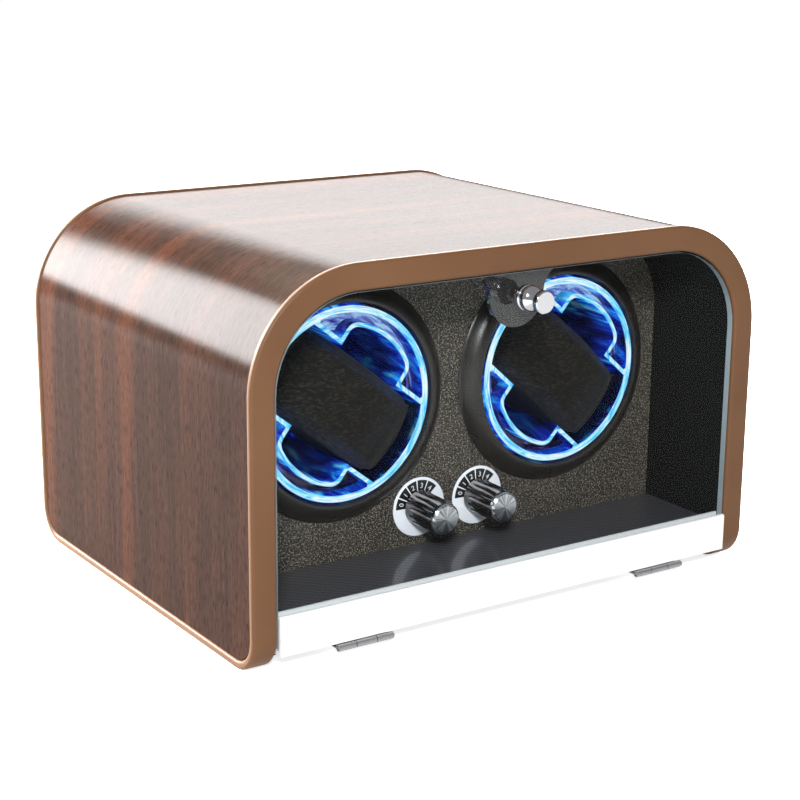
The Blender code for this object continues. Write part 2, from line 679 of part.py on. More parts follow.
def make_drive(name, side):
    """The geared motor under a rotor, its bracket on two posts, and the pinion on its shaft."""
    x = side * ROTOR_X
    z = ROTOR_Z - GEAR_CENTRES
    shaft = 0.0015
    motor_front, motor_back = MOTOR_Y
    body = [(0, motor_front), (MOTOR_RADIUS, motor_front), (MOTOR_RADIUS, 0.1400), (0.0119, 0.1404),
            (0.0119, motor_back - 0.001), (0.0109, motor_back), (0.0040, motor_back), (0.0040, motor_back + 0.002),
            (0, motor_back + 0.002)]
    motor = spun(f"motor_{name}", body, x, z, 20, STEEL)
    bore = rod(f"motor_bore_{name}", shaft + GAP, motor_front - 0.01, motor_front + 0.004, x, z, 12)
    combine(motor, bore)

    flange_back = motor_front - GAP
    flange_front = flange_back - 0.0014
    w, h = 0.021, 0.0145
    flange = [(x - w, z - h), (x + w, z - h), (x + w, z + h * 0.35), (x + w * 0.55, z + h * 0.9),
              (x - w * 0.55, z + h * 0.9), (x - w, z + h * 0.35)]
    hole = circle(x, z, 0.0040, 16)
    bracket = plate(f"motor_bracket_{name}", [flange, hole], flange_front, flange_back, "front", STEEL)
    for shift in (-0.0175, 0.0175):
        post = rod(f"post_{name}_{shift}", 0.0028, MOTOR_PLATE_Y + MOTOR_PLATE_THICK + GAP,
                   flange_front + 0.0005, x + shift, z - 0.0100, 12)
        combine(bracket, post, "UNION")

    root = MODULE * (PINION_TEETH / 2 - 1.2)
    tip = MODULE * (PINION_TEETH / 2 + 0.8)
    first = 90 + 180 / PINION_TEETH
    teeth = toothed(PINION_TEETH, root, tip, 0.58, 0.22, first)
    pinion = plate(f"motor_pinion_{name}", [turn(teeth, 0, x, z)], GEAR_Y[0] - 0.0005, GEAR_Y[1] + 0.0003,
                   "front", BRASS)
    stub = rod(f"pinion_shaft_{name}", shaft, GEAR_Y[0] + 0.001, motor_front + 0.0035, x, z, 12)
    combine(pinion, stub, "UNION")
    axle = pivot(f"motor_{name}_axle", x, GEAR_Y[0], z)
    hang(axle, pinion)


# ---------------------------------------------------------------- controls


def make_control(name, side):
    """A dial plate, its rotary switch with its spindle, and the ribbed knob with its metal cap."""
    x = side * DIAL_X
    z = DIAL_Z
    dial = [(BUSHING_RADIUS + GAP, PANEL_Y - GAP - DIAL_THICK), (DIAL_RADIUS, PANEL_Y - GAP - DIAL_THICK),
            (DIAL_RADIUS, PANEL_Y - GAP), (BUSHING_RADIUS + GAP, PANEL_Y - GAP)]
    spun(f"dial_plate_{name}", dial, x, z, 28, ALUMINIUM, bored=True)

    body_y = PANEL_Y + PANEL_THICK + GAP
    half = 0.0075
    switch = block(f"rotary_switch_{name}", (x - half, x + half), (body_y, body_y + ROTARY_DEEP), (z - half, z + half),
                   ZINC)
    combine(switch, rod(f"bushing_{name}", BUSHING_RADIUS, 0.0482, body_y + 0.001, x, z, 20), "UNION")
    combine(switch, rod(f"spindle_bore_{name}", SPINDLE_RADIUS + GAP, 0.04, body_y + 0.004, x, z, 16))

    front, back = CONTROL_Y
    barrel = [(0, front + 0.0010), (CAP_RADIUS, front + 0.0010), (CAP_RADIUS, front + 0.0046),
              (CONTROL_RADIUS - 0.0004, front + 0.0052), (CONTROL_RADIUS - 0.0004, back - 0.0032),
              (CONTROL_RADIUS + 0.0006, back - 0.0028), (CONTROL_RADIUS + 0.0006, back), (0, back)]
    knob = spun(f"control_knob_{name}", barrel, x, z, 20, GLOSS_BLACK)
    ribs = toothed(16, CONTROL_RADIUS - 0.0008, CONTROL_RADIUS + 0.0002, 0.55, 0.35, 0)
    grip = plate(f"grip_{name}", [turn(ribs, 0, x, z)], front + 0.0062, back - 0.0052)
    combine(knob, grip, "UNION")
    combine(knob, rod(f"knob_well_{name}", 0.0061, back - 0.0035, back + 0.01, x, z, 20))
    combine(knob, rod(f"knob_bore_{name}", SPINDLE_RADIUS + GAP, front + 0.0050, back, x, z, 16))
    cap = [(0, front), (CAP_RADIUS - 0.0004, front), (CAP_RADIUS, front + 0.0003),
           (CAP_RADIUS, front + 0.0007), (0, front + 0.0007)]
    cap = spun(f"knob_cap_{name}", cap, x, z, 24, ALUMINIUM)
    spindle = rod(f"switch_spindle_{name}", SPINDLE_RADIUS, front + 0.0055, body_y + 0.0035, x, z, 16, STEEL)
    axis = pivot(f"control_{name}_axis", x, front, z)
    hang(axis, knob, cap, spindle)


def make_control_board():
    """The motor control circuit, behind both rotary switches."""
    y = PANEL_Y + PANEL_THICK + GAP + ROTARY_DEEP + GAP
    block("control_board", (-0.033, 0.033), (y, y + CIRCUIT_THICK), (0.0200, 0.0455), CIRCUIT_GREEN)


# ---------------------------------------------------------------- build

clear_scene()
PARTS = new_collection("watch_winder_box")
CUTTERS = new_collection("cutters")

WALNUT = material("walnut", (0.17, 0.075, 0.045), 0.32)
TRIM_BROWN = material("brown_plastic", (0.27, 0.15, 0.085), 0.45)
BLACK_LINING = material("black_lining", (0.012, 0.012, 0.013), 0.8)
BLACK_BOARD = material("black_board", (0.018, 0.017, 0.017), 0.7)
CARBON_SHEET = material("carbon_sheet", (0.03, 0.03, 0.033), 0.35)
PEBBLED_BLACK = material("pebbled_black", (0.022, 0.021, 0.020), 0.5)
SATIN_BLACK = material("satin_black", (0.020, 0.019, 0.019), 0.35)
GREY_GLOSS = material("grey_gloss", (0.06, 0.06, 0.06), 0.15)
GLOSS_BLACK = material("gloss_black", (0.010, 0.010, 0.011), 0.12)
CLEAR_ACRYLIC = material("clear_acrylic", (0.92, 0.96, 1.0), 0.03, 0.0, 0.25)
BLACK_LEATHER = material("black_leather", (0.020, 0.018, 0.018), 0.45)
SILVER = material("silver_anodised", (0.86, 0.86, 0.87), 0.28, 1.0)
ALUMINIUM = material("brushed_aluminium", (0.80, 0.80, 0.82), 0.3, 1.0)
CHROME = material("chrome", (0.75, 0.75, 0.76), 0.05, 1.0)
NICKEL = material("nickel", (0.70, 0.68, 0.64), 0.2, 1.0)
STEEL = material("steel", (0.60, 0.60, 0.60), 0.3, 1.0)
DARK_STEEL = material("dark_steel", (0.08, 0.08, 0.085), 0.35, 1.0)
ZINC = material("zinc", (0.50, 0.50, 0.50), 0.45, 1.0)
BRASS = material("brass", (0.72, 0.52, 0.22), 0.3, 1.0)
WHITE_NYLON = material("white_nylon", (0.80, 0.79, 0.75), 0.4)
CIRCUIT_GREEN = material("circuit_board", (0.02, 0.12, 0.05), 0.4)

make_case()
make_back()
make_rear_fittings()
make_panels()
make_catch()
make_door()
for label, hand, angle in SIDES:
    make_bezel(f"rotor_bezel_{label}", hand)
    make_light_ring(f"light_ring_{label}", hand)
    make_rotor(label, hand, angle)
    make_drive(label, hand)
    make_control(label, hand)
make_control_board()
bpy.context.view_layer.update()
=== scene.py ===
"""The looks of a double watch winder box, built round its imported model. Metres, +Z up, the door faces -Y."""

import math

import bmesh
import bpy
from mathutils import Matrix, Vector, noise


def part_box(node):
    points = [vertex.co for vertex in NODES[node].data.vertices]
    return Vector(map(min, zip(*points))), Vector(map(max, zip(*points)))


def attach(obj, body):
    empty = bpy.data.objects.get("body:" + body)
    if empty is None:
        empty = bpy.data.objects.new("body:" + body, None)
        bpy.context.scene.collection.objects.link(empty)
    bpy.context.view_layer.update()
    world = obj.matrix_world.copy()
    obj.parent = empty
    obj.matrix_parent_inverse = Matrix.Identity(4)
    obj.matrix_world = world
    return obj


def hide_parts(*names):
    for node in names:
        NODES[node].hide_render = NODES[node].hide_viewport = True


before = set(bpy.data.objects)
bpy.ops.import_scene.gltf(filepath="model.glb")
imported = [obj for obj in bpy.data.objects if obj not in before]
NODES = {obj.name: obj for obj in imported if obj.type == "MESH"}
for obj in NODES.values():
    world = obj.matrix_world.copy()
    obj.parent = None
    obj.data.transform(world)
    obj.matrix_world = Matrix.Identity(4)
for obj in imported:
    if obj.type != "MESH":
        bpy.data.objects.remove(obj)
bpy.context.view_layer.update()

# -------------------- sizes, from the frame where it has them

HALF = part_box("front_edge_trim")[1].x
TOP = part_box("front_edge_trim")[1].z
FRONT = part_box("front_edge_trim")[0].y
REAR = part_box("rear_edge_trim")[1].y
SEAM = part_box("front_edge_trim")[1].y
DEPTH = REAR - FRONT
GAP = 0.0003

# the CAD's own dimensions that its boxes don't give
TOP_RADIUS = 0.0472
FOOT_RADIUS = 0.0151
TRIM_WIDTH = 0.0107
TRIM_THICK = 0.0035
TRIM_ROUND = 0.0013
TRIM_PROUD = 0.0008
BOARD_THICK = 0.009
CORNER_X = HALF - TOP_RADIUS
CORNER_Z = TOP - TOP_RADIUS

LEAF_THICK = 0.00055
ROTOR_RADIUS = 0.0412
RING_THICK = 0.003
SLOT_HALF = 0.019
LOBE_HALF = 0.0165
LOBE_RADIUS = 0.0324
WALL = 0.002
WEB_DEEP = (0.0075, 0.0105)
ROTOR_FLOOR = 0.003
BEZEL_BORE = 0.0423
BEZEL_SLEEVE = 0.0009
TILTS = {"left": math.radians(-38.0), "right": math.radians(-41.5)}
SIDES = ("left", "right")


def middle(node):
    """The centre of a CAD node's box."""
    low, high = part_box(node)
    return (low + high) / 2


ROTOR_AT = {side: middle(f"rotor_hub_{side}") for side in SIDES}
DIAL_AT = {side: middle(f"switch_spindle_{side}") for side in SIDES}
KNOB_AT = middle("door_knob")


# -------------------- node graphs


def srgb(red, green, blue):
    """A colour given in 0 to 255, as Blender's linear values."""
    linear = []
    for value in (red, green, blue):
        share = value / 255
        linear.append(share / 12.92 if share <= 0.04045 else ((share + 0.055) / 1.055) ** 2.4)
    return (*linear, 1.0)


def toned(colour, share):
    """A colour made darker, or lighter where the share is over 1."""
    return (*(min(1.0, value * share) for value in colour[:3]), 1.0)


def socket_name(key):
    """A keyword such as coat_weight as the name of the shader's socket, Coat Weight."""
    return key.replace("_", " ").title().replace("Ior", "IOR")


class Graph:
    """A material's node tree, written as calls. Lengths are in metres, in the piece's own axes."""

    def __init__(self, name, **values):
        self.material = bpy.data.materials.new(name)
        self.material.use_nodes = True
        self.tree = self.material.node_tree
        self.shader = self.tree.nodes["Principled BSDF"]
        self.out = self.tree.nodes["Material Output"]
        for key, value in values.items():
            self.shader.inputs[socket_name(key)].default_value = value
        self.place = self.add("TexCoord").outputs["Object"]

    def feed(self, socket, value):
        """Links a node's output to a socket, or sets the socket to a plain value."""
        if isinstance(value, bpy.types.Node):
            value = value.outputs[0]
        if isinstance(value, bpy.types.NodeSocket):
            self.tree.links.new(value, socket)
        else:
            socket.default_value = value

    def add(self, kind, inputs=None, **settings):
        made = self.tree.nodes.new("ShaderNode" + kind)
        for key, value in settings.items():
            setattr(made, key, value)
        for key, value in (inputs or {}).items():
            self.feed(made.inputs[key], value)
        return made

    def math(self, operation, first, second=0.0):
        return self.add("Math", {0: first, 1: second}, operation=operation).outputs[0]

    def plus(self, first, second):
        return self.math("ADD", first, second)

    def minus(self, first, second):
        return self.math("SUBTRACT", first, second)

    def times(self, first, second):
        return self.math("MULTIPLY", first, second)

    def length(self, x, z):
        return self.math("SQRT", self.plus(self.times(x, x), self.times(z, z)))

    def split(self, vector):
        return self.add("SeparateXYZ", {0: vector}).outputs

    def join(self, x, y, z):
        return self.add("CombineXYZ", {0: x, 1: y, 2: z}).outputs[0]

    def stretch(self, vector, scale, shift=(0, 0, 0), turn=(0, 0, 0)):
        inputs = {"Vector": vector, "Scale": scale, "Location": shift, "Rotation": turn}
        return self.add("Mapping", inputs).outputs[0]

    def noise(self, vector, scale, detail=3.0, roughness=0.5, warp=0.0):
        inputs = {"Vector": vector, "Scale": scale, "Detail": detail, "Roughness": roughness}
        inputs["Distortion"] = warp
        return self.add("TexNoise", inputs).outputs[0]

    def cells(self, vector, scale, feature):
        made = self.add("TexVoronoi", {"Vector": vector, "Scale": scale}, feature=feature)
        return made.outputs["Distance"]

    def ramp(self, value, stops):
        """The value looked up on stops of (position, colour or grey)."""
        made = self.add("ValToRGB", {0: value})
        points = made.color_ramp.elements
        while len(points) < len(stops):
            points.new(0.5)
        for point, (position, colour) in zip(points, stops):
            point.position = position
            point.color = colour if isinstance(colour, tuple) else (colour, colour, colour, 1)
        return made.outputs[0]

    def span(self, value, low, high, start=0.0, end=1.0):
        """The value carried from the range low to high onto start to end, and held there."""
        return self.add("MapRange", {0: value, 1: low, 2: high, 3: start, 4: end}).outputs[0]

    def blend(self, share, first, second, mode="MIX"):
        made = self.add("Mix", {0: share, 6: first, 7: second}, data_type="RGBA", blend_type=mode)
        return made.outputs[2]

    def bump(self, height, strength, distance):
        return self.add("Bump", {"Height": height, "Strength": strength, "Distance": distance}).outputs[0]

    def set(self, **values):
        for key, value in values.items():
            self.feed(self.shader.inputs[socket_name(key)], value)
        return self

    def facing(self, axis):
        """How squarely the surface faces along one of the piece's own axes, from -1 to 1."""
        normal = self.add("TexCoord").outputs["Normal"]
        return self.split(normal)[axis]


# -------------------- materials

SHADE_TILT = math.radians(-45)


def walnut():
    """Satin-coated walnut whose grain runs up the side, over the shoulder and across the top."""
    g = Graph("walnut_veneer", coat_weight=0.14, coat_roughness=0.17, specular_ior_level=0.0)
    x, y, z = g.split(g.place)
    across = g.math("ABSOLUTE", x)
    rise = g.math("MAXIMUM", g.minus(z, CORNER_Z), 0.0)
    reach = g.math("MAXIMUM", g.minus(across, CORNER_X), 1e-6)
    bend = g.times(g.math("ARCTAN2", rise, reach), TOP_RADIUS)
    flat = g.math("MAXIMUM", g.minus(CORNER_X, across), 0.0)
    run = g.plus(g.plus(g.math("MINIMUM", z, CORNER_Z), bend), flat)
    whole = CORNER_Z + CORNER_X + TOP_RADIUS * math.pi / 2
    along = g.times(g.math("SIGN", x), g.minus(whole, run))
    grain = g.join(along, y, 0.0)

    drift = g.noise(g.stretch(grain, (5, 14, 1)), 1.0, 2.0)
    wavy = g.join(along, g.plus(y, g.times(drift, 0.012)), 0.0)
    bands = g.noise(g.stretch(wavy, (2.2, 36, 1), (5, 2, 0)), 1.0, 3.0, 0.55)
    streaks = g.noise(g.stretch(wavy, (16, 460, 1), (3, 1, 0)), 1.0, 5.0, 0.7)
    pores = g.noise(g.stretch(wavy, (210, 2100, 1)), 1.0, 2.0, 0.5)
    warm = g.ramp(bands, [(0.36, srgb(44, 31, 25)), (0.52, srgb(58, 38, 30)), (0.66, srgb(88, 52, 35))])
    lines = g.ramp(streaks, [(0.30, srgb(36, 25, 21)), (0.50, srgb(62, 42, 34)), (0.72, srgb(86, 58, 43))])
    colour = g.blend(0.42, warm, lines)
    dark = g.span(pores, 0.40, 0.50, 0.42, 1.0)
    colour = g.blend(1.0, colour, g.join(dark, dark, dark), "MULTIPLY")
    rough = g.span(streaks, 0.3, 0.7, 0.34, 0.46)
    lift = g.bump(g.plus(g.times(streaks, 0.7), g.times(pores, 0.5)), 0.5, 0.0002)
    g.feed(g.shader.inputs["Coat Normal"], g.bump(streaks, 0.25, 0.0002))
    return g.set(base_color=colour, roughness=rough, normal=lift).material


def moulded(name, colour, roughness=0.45, scale=1400, depth=0.00003):
    """Moulded or painted plastic: a faint mottle of colour and a fine even texture."""
    g = Graph(name)
    cloud = g.noise(g.place, 45, 3)
    grain = g.noise(g.place, scale, 2)
    rough = g.span(cloud, 0.3, 0.7, roughness - 0.05, roughness + 0.05)
    g.set(base_color=g.blend(cloud, toned(colour, 0.9), toned(colour, 1.1)), roughness=rough)
    return g.set(normal=g.bump(grain, 0.35, depth)).material


def brown_trim():
    """Brown moulded strip, a little lighter and yellower where light grazes its edges."""
    g = Graph("brown_trim_plastic", specular_ior_level=0.2)
    cloud = g.noise(g.stretch(g.place, (18, 18, 18)), 1.0, 3)
    body = g.ramp(cloud, [(0.3, srgb(96, 66, 44)), (0.7, srgb(106, 75, 51))])
    edge = g.add("LayerWeight", {"Blend": 0.35}).outputs["Facing"]
    colour = g.blend(g.span(edge, 0.35, 0.95, 0.0, 0.55), body, srgb(164, 122, 84))
    grain = g.noise(g.place, 1800, 2)
    return g.set(base_color=colour, roughness=0.45, normal=g.bump(grain, 0.25, 0.00002)).material


def pebbled():
    """Black panel covered in fine raised grains, some of which catch the light."""
    g = Graph("pebbled_black", specular_ior_level=0.6)
    grains = g.noise(g.place, 1100, 2, 0.6)
    flecks = g.noise(g.place, 1500, 1, 0.5)
    glint = g.span(flecks, 0.54, 0.64)
    cloud = g.noise(g.place, 60, 3)
    body = g.ramp(cloud, [(0.35, srgb(22, 19, 17)), (0.65, srgb(38, 34, 30))])
    colour = g.blend(g.times(glint, 0.6), body, srgb(176, 164, 148))
    rough = g.span(flecks, 0.4, 0.7, 0.6, 0.3)
    return g.set(base_color=colour, roughness=rough, normal=g.bump(grains, 1.0, 0.0005)).material


def woven():
    """Black vinyl with a printed and embossed twill, as of carbon cloth."""
    tow = 0.0011
    g = Graph("carbon_weave_sheet", coat_weight=0.5, coat_roughness=0.12)
    x, y, _ = g.split(g.place)
    column = g.math("FLOOR", g.math("DIVIDE", x, tow))
    row = g.math("FLOOR", g.math("DIVIDE", y, tow))
    step = g.math("FLOORED_MODULO", g.plus(column, row), 4.0)
    over = g.math("LESS_THAN", step, 2.0)
    wave_x = g.math("SINE", g.times(x, math.tau / tow))
    wave_y = g.math("SINE", g.times(y, math.tau / tow))
    both = g.add("Mix", {0: over, 2: wave_x, 3: wave_y}).outputs[0]
    thread = g.span(both, -1.0, 1.0)
    colour = g.blend(over, srgb(34, 34, 37), srgb(70, 68, 74))
    colour = g.blend(g.times(thread, 0.35), colour, srgb(84, 83, 88))
    g.set(base_color=colour, roughness=g.span(thread, 0, 1, 0.5, 0.34))
    return g.set(normal=g.bump(thread, 0.5, 0.0001)).material


def leather():
    """Black leather: small pebbles between creases, glossier on the crowns, with painted light specks on the
    crowns and painted shade in the creases.
    """
    g = Graph("black_grained_leather", specular_ior_level=0.55, specular_tint=(1.0, 0.96, 0.92, 1.0))
    drift = g.noise(g.place, 220, 3)
    spread = g.join(drift, drift, drift)
    broken_up = g.add("VectorMath", {0: spread, 1: spread, 2: g.place}, operation="MULTIPLY_ADD")
    pebble = g.cells(broken_up, 900, "DISTANCE_TO_EDGE")
    crown = g.span(pebble, 0.02, 0.20)
    fine = g.noise(g.place, 2200, 2)
    lean = g.stretch(g.place, (520, 520, 1500), turn=(0, math.radians(42), 0))
    glint_speck = g.span(g.noise(lean, 1.0, 3, 0.6), 0.50, 0.62)
    cloud = g.noise(g.place, 70, 3)
    body = g.ramp(cloud, [(0.3, srgb(21, 19, 17)), (0.7, srgb(34, 30, 27))])
    # Painted highlights: light specks on the crowns; painted shade: the creases near black.
    raised = g.blend(g.times(glint_speck, 0.7), body, srgb(122, 110, 100))
    colour = g.blend(crown, srgb(9, 8, 8), raised)
    height = g.plus(crown, g.times(fine, 0.25))
    rough = g.span(crown, 0, 1, 0.55, 0.33)
    return g.set(base_color=colour, roughness=rough, normal=g.bump(height, 1.0, 0.0004)).material


def brushed(name, colour, roughness=0.3, along=(4, 4, 900), metal=1.0):
    """Metal with fine straight scratches; along gives how quickly they change on each axis."""
    g = Graph(name, metallic=metal)
    lines = g.noise(g.stretch(g.place, along), 1.0, 4)
    cloud = g.noise(g.place, 30, 2)
    g.set(base_color=g.blend(lines, toned(colour, 0.86), colour))
    rough = g.span(lines, 0.3, 0.7, roughness - 0.06, roughness + 0.06)
    g.set(roughness=g.plus(rough, g.times(cloud, 0.05)))
    return g.set(normal=g.bump(lines, 0.2, 0.00003)).material


def polished(name, colour, roughness=0.06):
    """Plated metal: near a mirror, with a trace of handling marks."""
    g = Graph(name, metallic=1.0)
    smear = g.noise(g.place, 260, 4)
    g.set(base_color=g.blend(smear, toned(colour, 0.93), colour))
    return g.set(roughness=g.span(smear, 0.35, 0.75, roughness, roughness + 0.07)).material


def turned_face(name, centre, colour):
    """A lathe-turned metal face: painted light and dark reflection fans about its centre, over very fine
    rings.
    """
    g = Graph(name, metallic=1.0)
    x, _, z = g.split(g.place)
    dx = g.minus(x, centre.x)
    dz = g.minus(z, centre.z)
    angle = g.math("ARCTAN2", dz, dx)
    reflection_fan = g.noise(g.join(g.math("COSINE", angle), g.math("SINE", angle), 0.0), 1.4, 3, 0.5)
    rings = g.noise(g.join(g.times(g.length(dx, dz), 5200), 0.0, 0.0), 1.0, 2)
    # Painted reflection: light and dark fans about the centre, as turned metal reflects.
    light = g.span(reflection_fan, 0.44, 0.56, 0.34, 1.0)
    tone = g.join(light, light, light)
    g.set(base_color=g.blend(1.0, tone, colour, "MULTIPLY"))
    return g.set(roughness=g.span(rings, 0.3, 0.7, 0.14, 0.24), normal=g.bump(rings, 0.15, 0.00002)).material


def gloss(name, colour, roughness=0.12, coat=0.4):
    """Glossy moulded plastic, with faint ripples and smears."""
    g = Graph(name, coat_weight=coat, coat_roughness=0.05)
    smear = g.noise(g.place, 90, 4)
    ripple = g.noise(g.place, 180, 1)
    g.set(base_color=g.blend(smear, toned(colour, 0.8), colour))
    g.set(roughness=g.span(smear, 0.3, 0.7, roughness, roughness + 0.10))
    return g.set(normal=g.bump(ripple, 0.05, 0.0001)).material


def ribbed_black(name, centre):
    """Glossy black knob moulding with long painted highlight streaks down its ribs, on the faces turned
    upwards.
    """
    g = Graph(name, roughness=0.16, coat_weight=0.6, coat_roughness=0.05)
    x, y, z = g.split(g.place)
    angle = g.math("ARCTAN2", g.minus(z, centre.z), g.minus(x, centre.x))
    round_it = g.join(g.math("COSINE", angle), g.math("SINE", angle), g.times(y, 12.0))
    highlight_streak = g.noise(round_it, 3.4, 2, 0.5)
    # Painted highlights: light streaks only where the ribs face upwards.
    upward_highlight = g.span(g.facing(2), -0.1, 0.9, 0.0, 1.0)
    light = g.times(g.span(highlight_streak, 0.46, 0.58), upward_highlight)
    return g.set(base_color=g.blend(light, srgb(16, 16, 17), srgb(170, 166, 170))).material


def clear_pane():
    """Clear acrylic sheet: seen through, with a faint mirror on its outer face, and pale where it is cut."""
    g = Graph("clear_pane_acrylic", roughness=0.35)
    smear = g.noise(g.place, 26, 4)
    mirror = g.add("BsdfGlossy", {"Color": (1, 1, 1, 1), "Roughness": g.span(smear, 0.3, 0.8, 0.0, 0.03)})
    clear = g.add("BsdfTransparent", {"Color": (0.955, 0.97, 0.968, 1)})
    rear = g.add("NewGeometry").outputs["Backfacing"]
    shine = g.times(g.add("Fresnel", {"IOR": 1.49}), g.minus(1.0, rear))
    sheet = g.add("MixShader", {0: g.times(shine, 0.12), 1: clear, 2: mirror})
    g.set(base_color=g.ramp(smear, [(0.3, srgb(128, 142, 148)), (0.7, srgb(160, 172, 178))]))
    side = g.math("LESS_THAN", g.math("ABSOLUTE", g.facing(1)), 0.6)
    whole = g.add("MixShader", {0: g.times(side, 0.85), 1: sheet, 2: g.shader})
    g.feed(g.out.inputs["Surface"], whole)
    return g.material


def about(g, centre, tilt):
    """Places measured from a rotor's centre: along a tilted line, across it, outwards, and backwards."""
    x, y, z = g.split(g.place)
    dx = g.minus(x, centre.x)
    dz = g.minus(z, centre.z)
    c, s = math.cos(tilt), math.sin(tilt)
    along = g.plus(g.times(dx, c), g.times(dz, s))
    across = g.minus(g.times(dz, c), g.times(dx, s))
    return along, across, g.length(dx, dz), y


def lit_acrylic(name, centre, front, tilt):
    """Clear acrylic with the diodes' blue light painted on as a glow: white and cyan on its front edges, deep
    blue further in, with painted shade deeper in.
    """
    g = Graph(name, roughness=0.1, specular_ior_level=0.5)
    along, across, radius, y = about(g, centre, tilt)
    depth = g.minus(y, front)
    swirl = g.join(g.times(along, 75.0), g.times(across, 75.0), g.times(radius, 750.0))
    streaks = g.noise(swirl, 1.0, 5, 0.62, 1.0)
    wash = g.noise(g.join(g.times(along, 26.0), g.times(across, 26.0), 3.0), 1.0, 2)
    tone = g.plus(streaks, g.times(g.minus(wash, 0.5), 0.5))
    glow = g.ramp(tone, [(0.27, srgb(22, 60, 190)), (0.35, srgb(40, 150, 246)), (0.44, srgb(84, 212, 255)),
                         (0.53, srgb(176, 234, 255)), (0.64, srgb(240, 252, 255))])
    blotches = g.noise(g.stretch(g.place, (75, 22, 75)), 1.0, 4, 0.6, 1.6)
    wall = g.ramp(blotches, [(0.36, srgb(0, 4, 40)), (0.47, srgb(4, 24, 150)), (0.55, srgb(14, 84, 236)),
                             (0.62, srgb(40, 180, 255)), (0.72, srgb(190, 240, 255))])
    # Painted shade: the walls darken with depth from the front and go near black inside the pillow's channel.
    depth_shade = g.ramp(g.span(depth, 0.0, 0.047), [(0.0, 1.0), (0.10, 0.55), (0.30, 0.12), (1.0, 0.03)])
    wall = g.blend(1.0, wall, depth_shade, "MULTIPLY")
    in_channel = g.math("LESS_THAN", g.math("ABSOLUTE", across), SLOT_HALF - 0.0004)
    channel_shade = g.times(in_channel, g.span(depth, 0.0, 0.003, 0.6, 0.97))
    wall = g.blend(channel_shade, wall, srgb(0, 1, 8))
    # Painted light: faces turned to the front take the brightest glow.
    face = g.span(g.times(g.facing(1), -1.0), 0.3, 0.95)
    colour = g.blend(face, wall, glow)
    g.set(base_color=g.blend(0.96, colour, srgb(4, 8, 20)), emission_color=colour, emission_strength=1.0)
    lens = g.noise(g.stretch(g.place, (160, 60, 160)), 1.0, 3)
    return g.set(normal=g.bump(lens, 0.3, 0.0004)).material


def web_acrylic(name, centre):
    """The webs between the lit walls, given a painted glow: pale violet at the upper left, near black at the
    lower right, as painted light and shade.
    """
    g = Graph(name, roughness=0.12)
    along, across, radius, _ = about(g, centre, SHADE_TILT)
    swirl = g.join(g.times(along, 60.0), g.times(across, 60.0), g.times(radius, 420.0))
    cloud = g.noise(swirl, 1.0, 5, 0.65, 1.2)
    # Painted light and shade: lighter towards the upper left and the outer ring, darker towards the lower
    # right.
    shade = g.plus(cloud, g.span(along, -0.03, 0.03, 0.22, -0.08))
    high = g.span(across, -0.012, 0.004, -0.12, 0.0)
    edge = g.span(radius, 0.0335, 0.038, -0.03, 0.09)
    shade = g.plus(g.plus(shade, high), edge)
    colour = g.ramp(shade, [(0.36, srgb(4, 2, 12)), (0.50, srgb(40, 32, 78)), (0.62, srgb(84, 104, 206)),
                            (0.74, srgb(170, 214, 255))])
    g.set(base_color=g.blend(0.9, colour, srgb(4, 4, 14)), emission_color=colour, emission_strength=0.8)
    return g.material


def deep_acrylic(name, centre):
    """The rotor's floor, given a painted glow: deep blue to black, lighter towards the upper left as painted
    light, with a few painted cyan glints.
    """
    g = Graph(name, roughness=0.2)
    along = about(g, centre, SHADE_TILT)[0]
    cloud = g.noise(g.stretch(g.place, (60, 60, 60)), 1.0, 4, 0.6, 1.5)
    # Painted shade: lighter towards the upper left, darker towards the lower right.
    shade = g.plus(cloud, g.span(along, -0.03, 0.03, 0.10, -0.08))
    colour = g.ramp(shade, [(0.42, srgb(0, 1, 8)), (0.54, srgb(0, 14, 96)), (0.66, srgb(4, 40, 190)),
                            (0.80, srgb(60, 180, 255))])
    g.set(base_color=g.blend(0.9, colour, srgb(2, 4, 12)), emission_color=colour, emission_strength=0.7)
    return g.material


def lamp(name, colour, strength):
    """A lit diode's lens, brightest in its middle."""
    g = Graph(name, roughness=0.3)
    core = g.add("LayerWeight", {"Blend": 0.4}).outputs["Facing"]
    tone = g.blend(core, srgb(220, 240, 255), colour)
    return g.set(base_color=tone, emission_color=tone, emission_strength=strength).material


def circuit():
    """Green solder mask over copper tracks."""
    g = Graph("circuit_green", roughness=0.35, coat_weight=0.5)
    x, _, z = g.split(g.place)
    wander = g.times(g.noise(g.place, 90, 1), 0.01)
    track = g.math("SINE", g.times(g.plus(g.plus(x, z), wander), 2400))
    copper = g.span(track, 0.55, 0.7)
    g.set(base_color=g.blend(copper, srgb(14, 70, 38), srgb(40, 116, 66)))
    return g.set(normal=g.bump(copper, 0.4, 0.00005)).material


def board():
    """Black-faced fibreboard with a faint leathery emboss."""
    g = Graph("black_faced_board")
    emboss = g.cells(g.place, 700, "SMOOTH_F1")
    cloud = g.noise(g.place, 30, 4)
    body = g.ramp(cloud, [(0.3, srgb(24, 23, 23)), (0.7, srgb(40, 38, 37))])
    g.set(base_color=body, roughness=g.span(cloud, 0.3, 0.7, 0.5, 0.65))
    return g.set(normal=g.bump(emboss, 0.5, 0.0001)).material


def felt():
    """Short black flock."""
    g = Graph("black_flock_lining", specular_ior_level=0.2, roughness=0.9)
    fibre = g.noise(g.place, 2600, 4, 0.7)
    g.set(base_color=g.ramp(fibre, [(0.35, srgb(4, 4, 4)), (0.65, srgb(14, 14, 14))]))
    return g.set(normal=g.bump(fibre, 0.8, 0.00015)).material


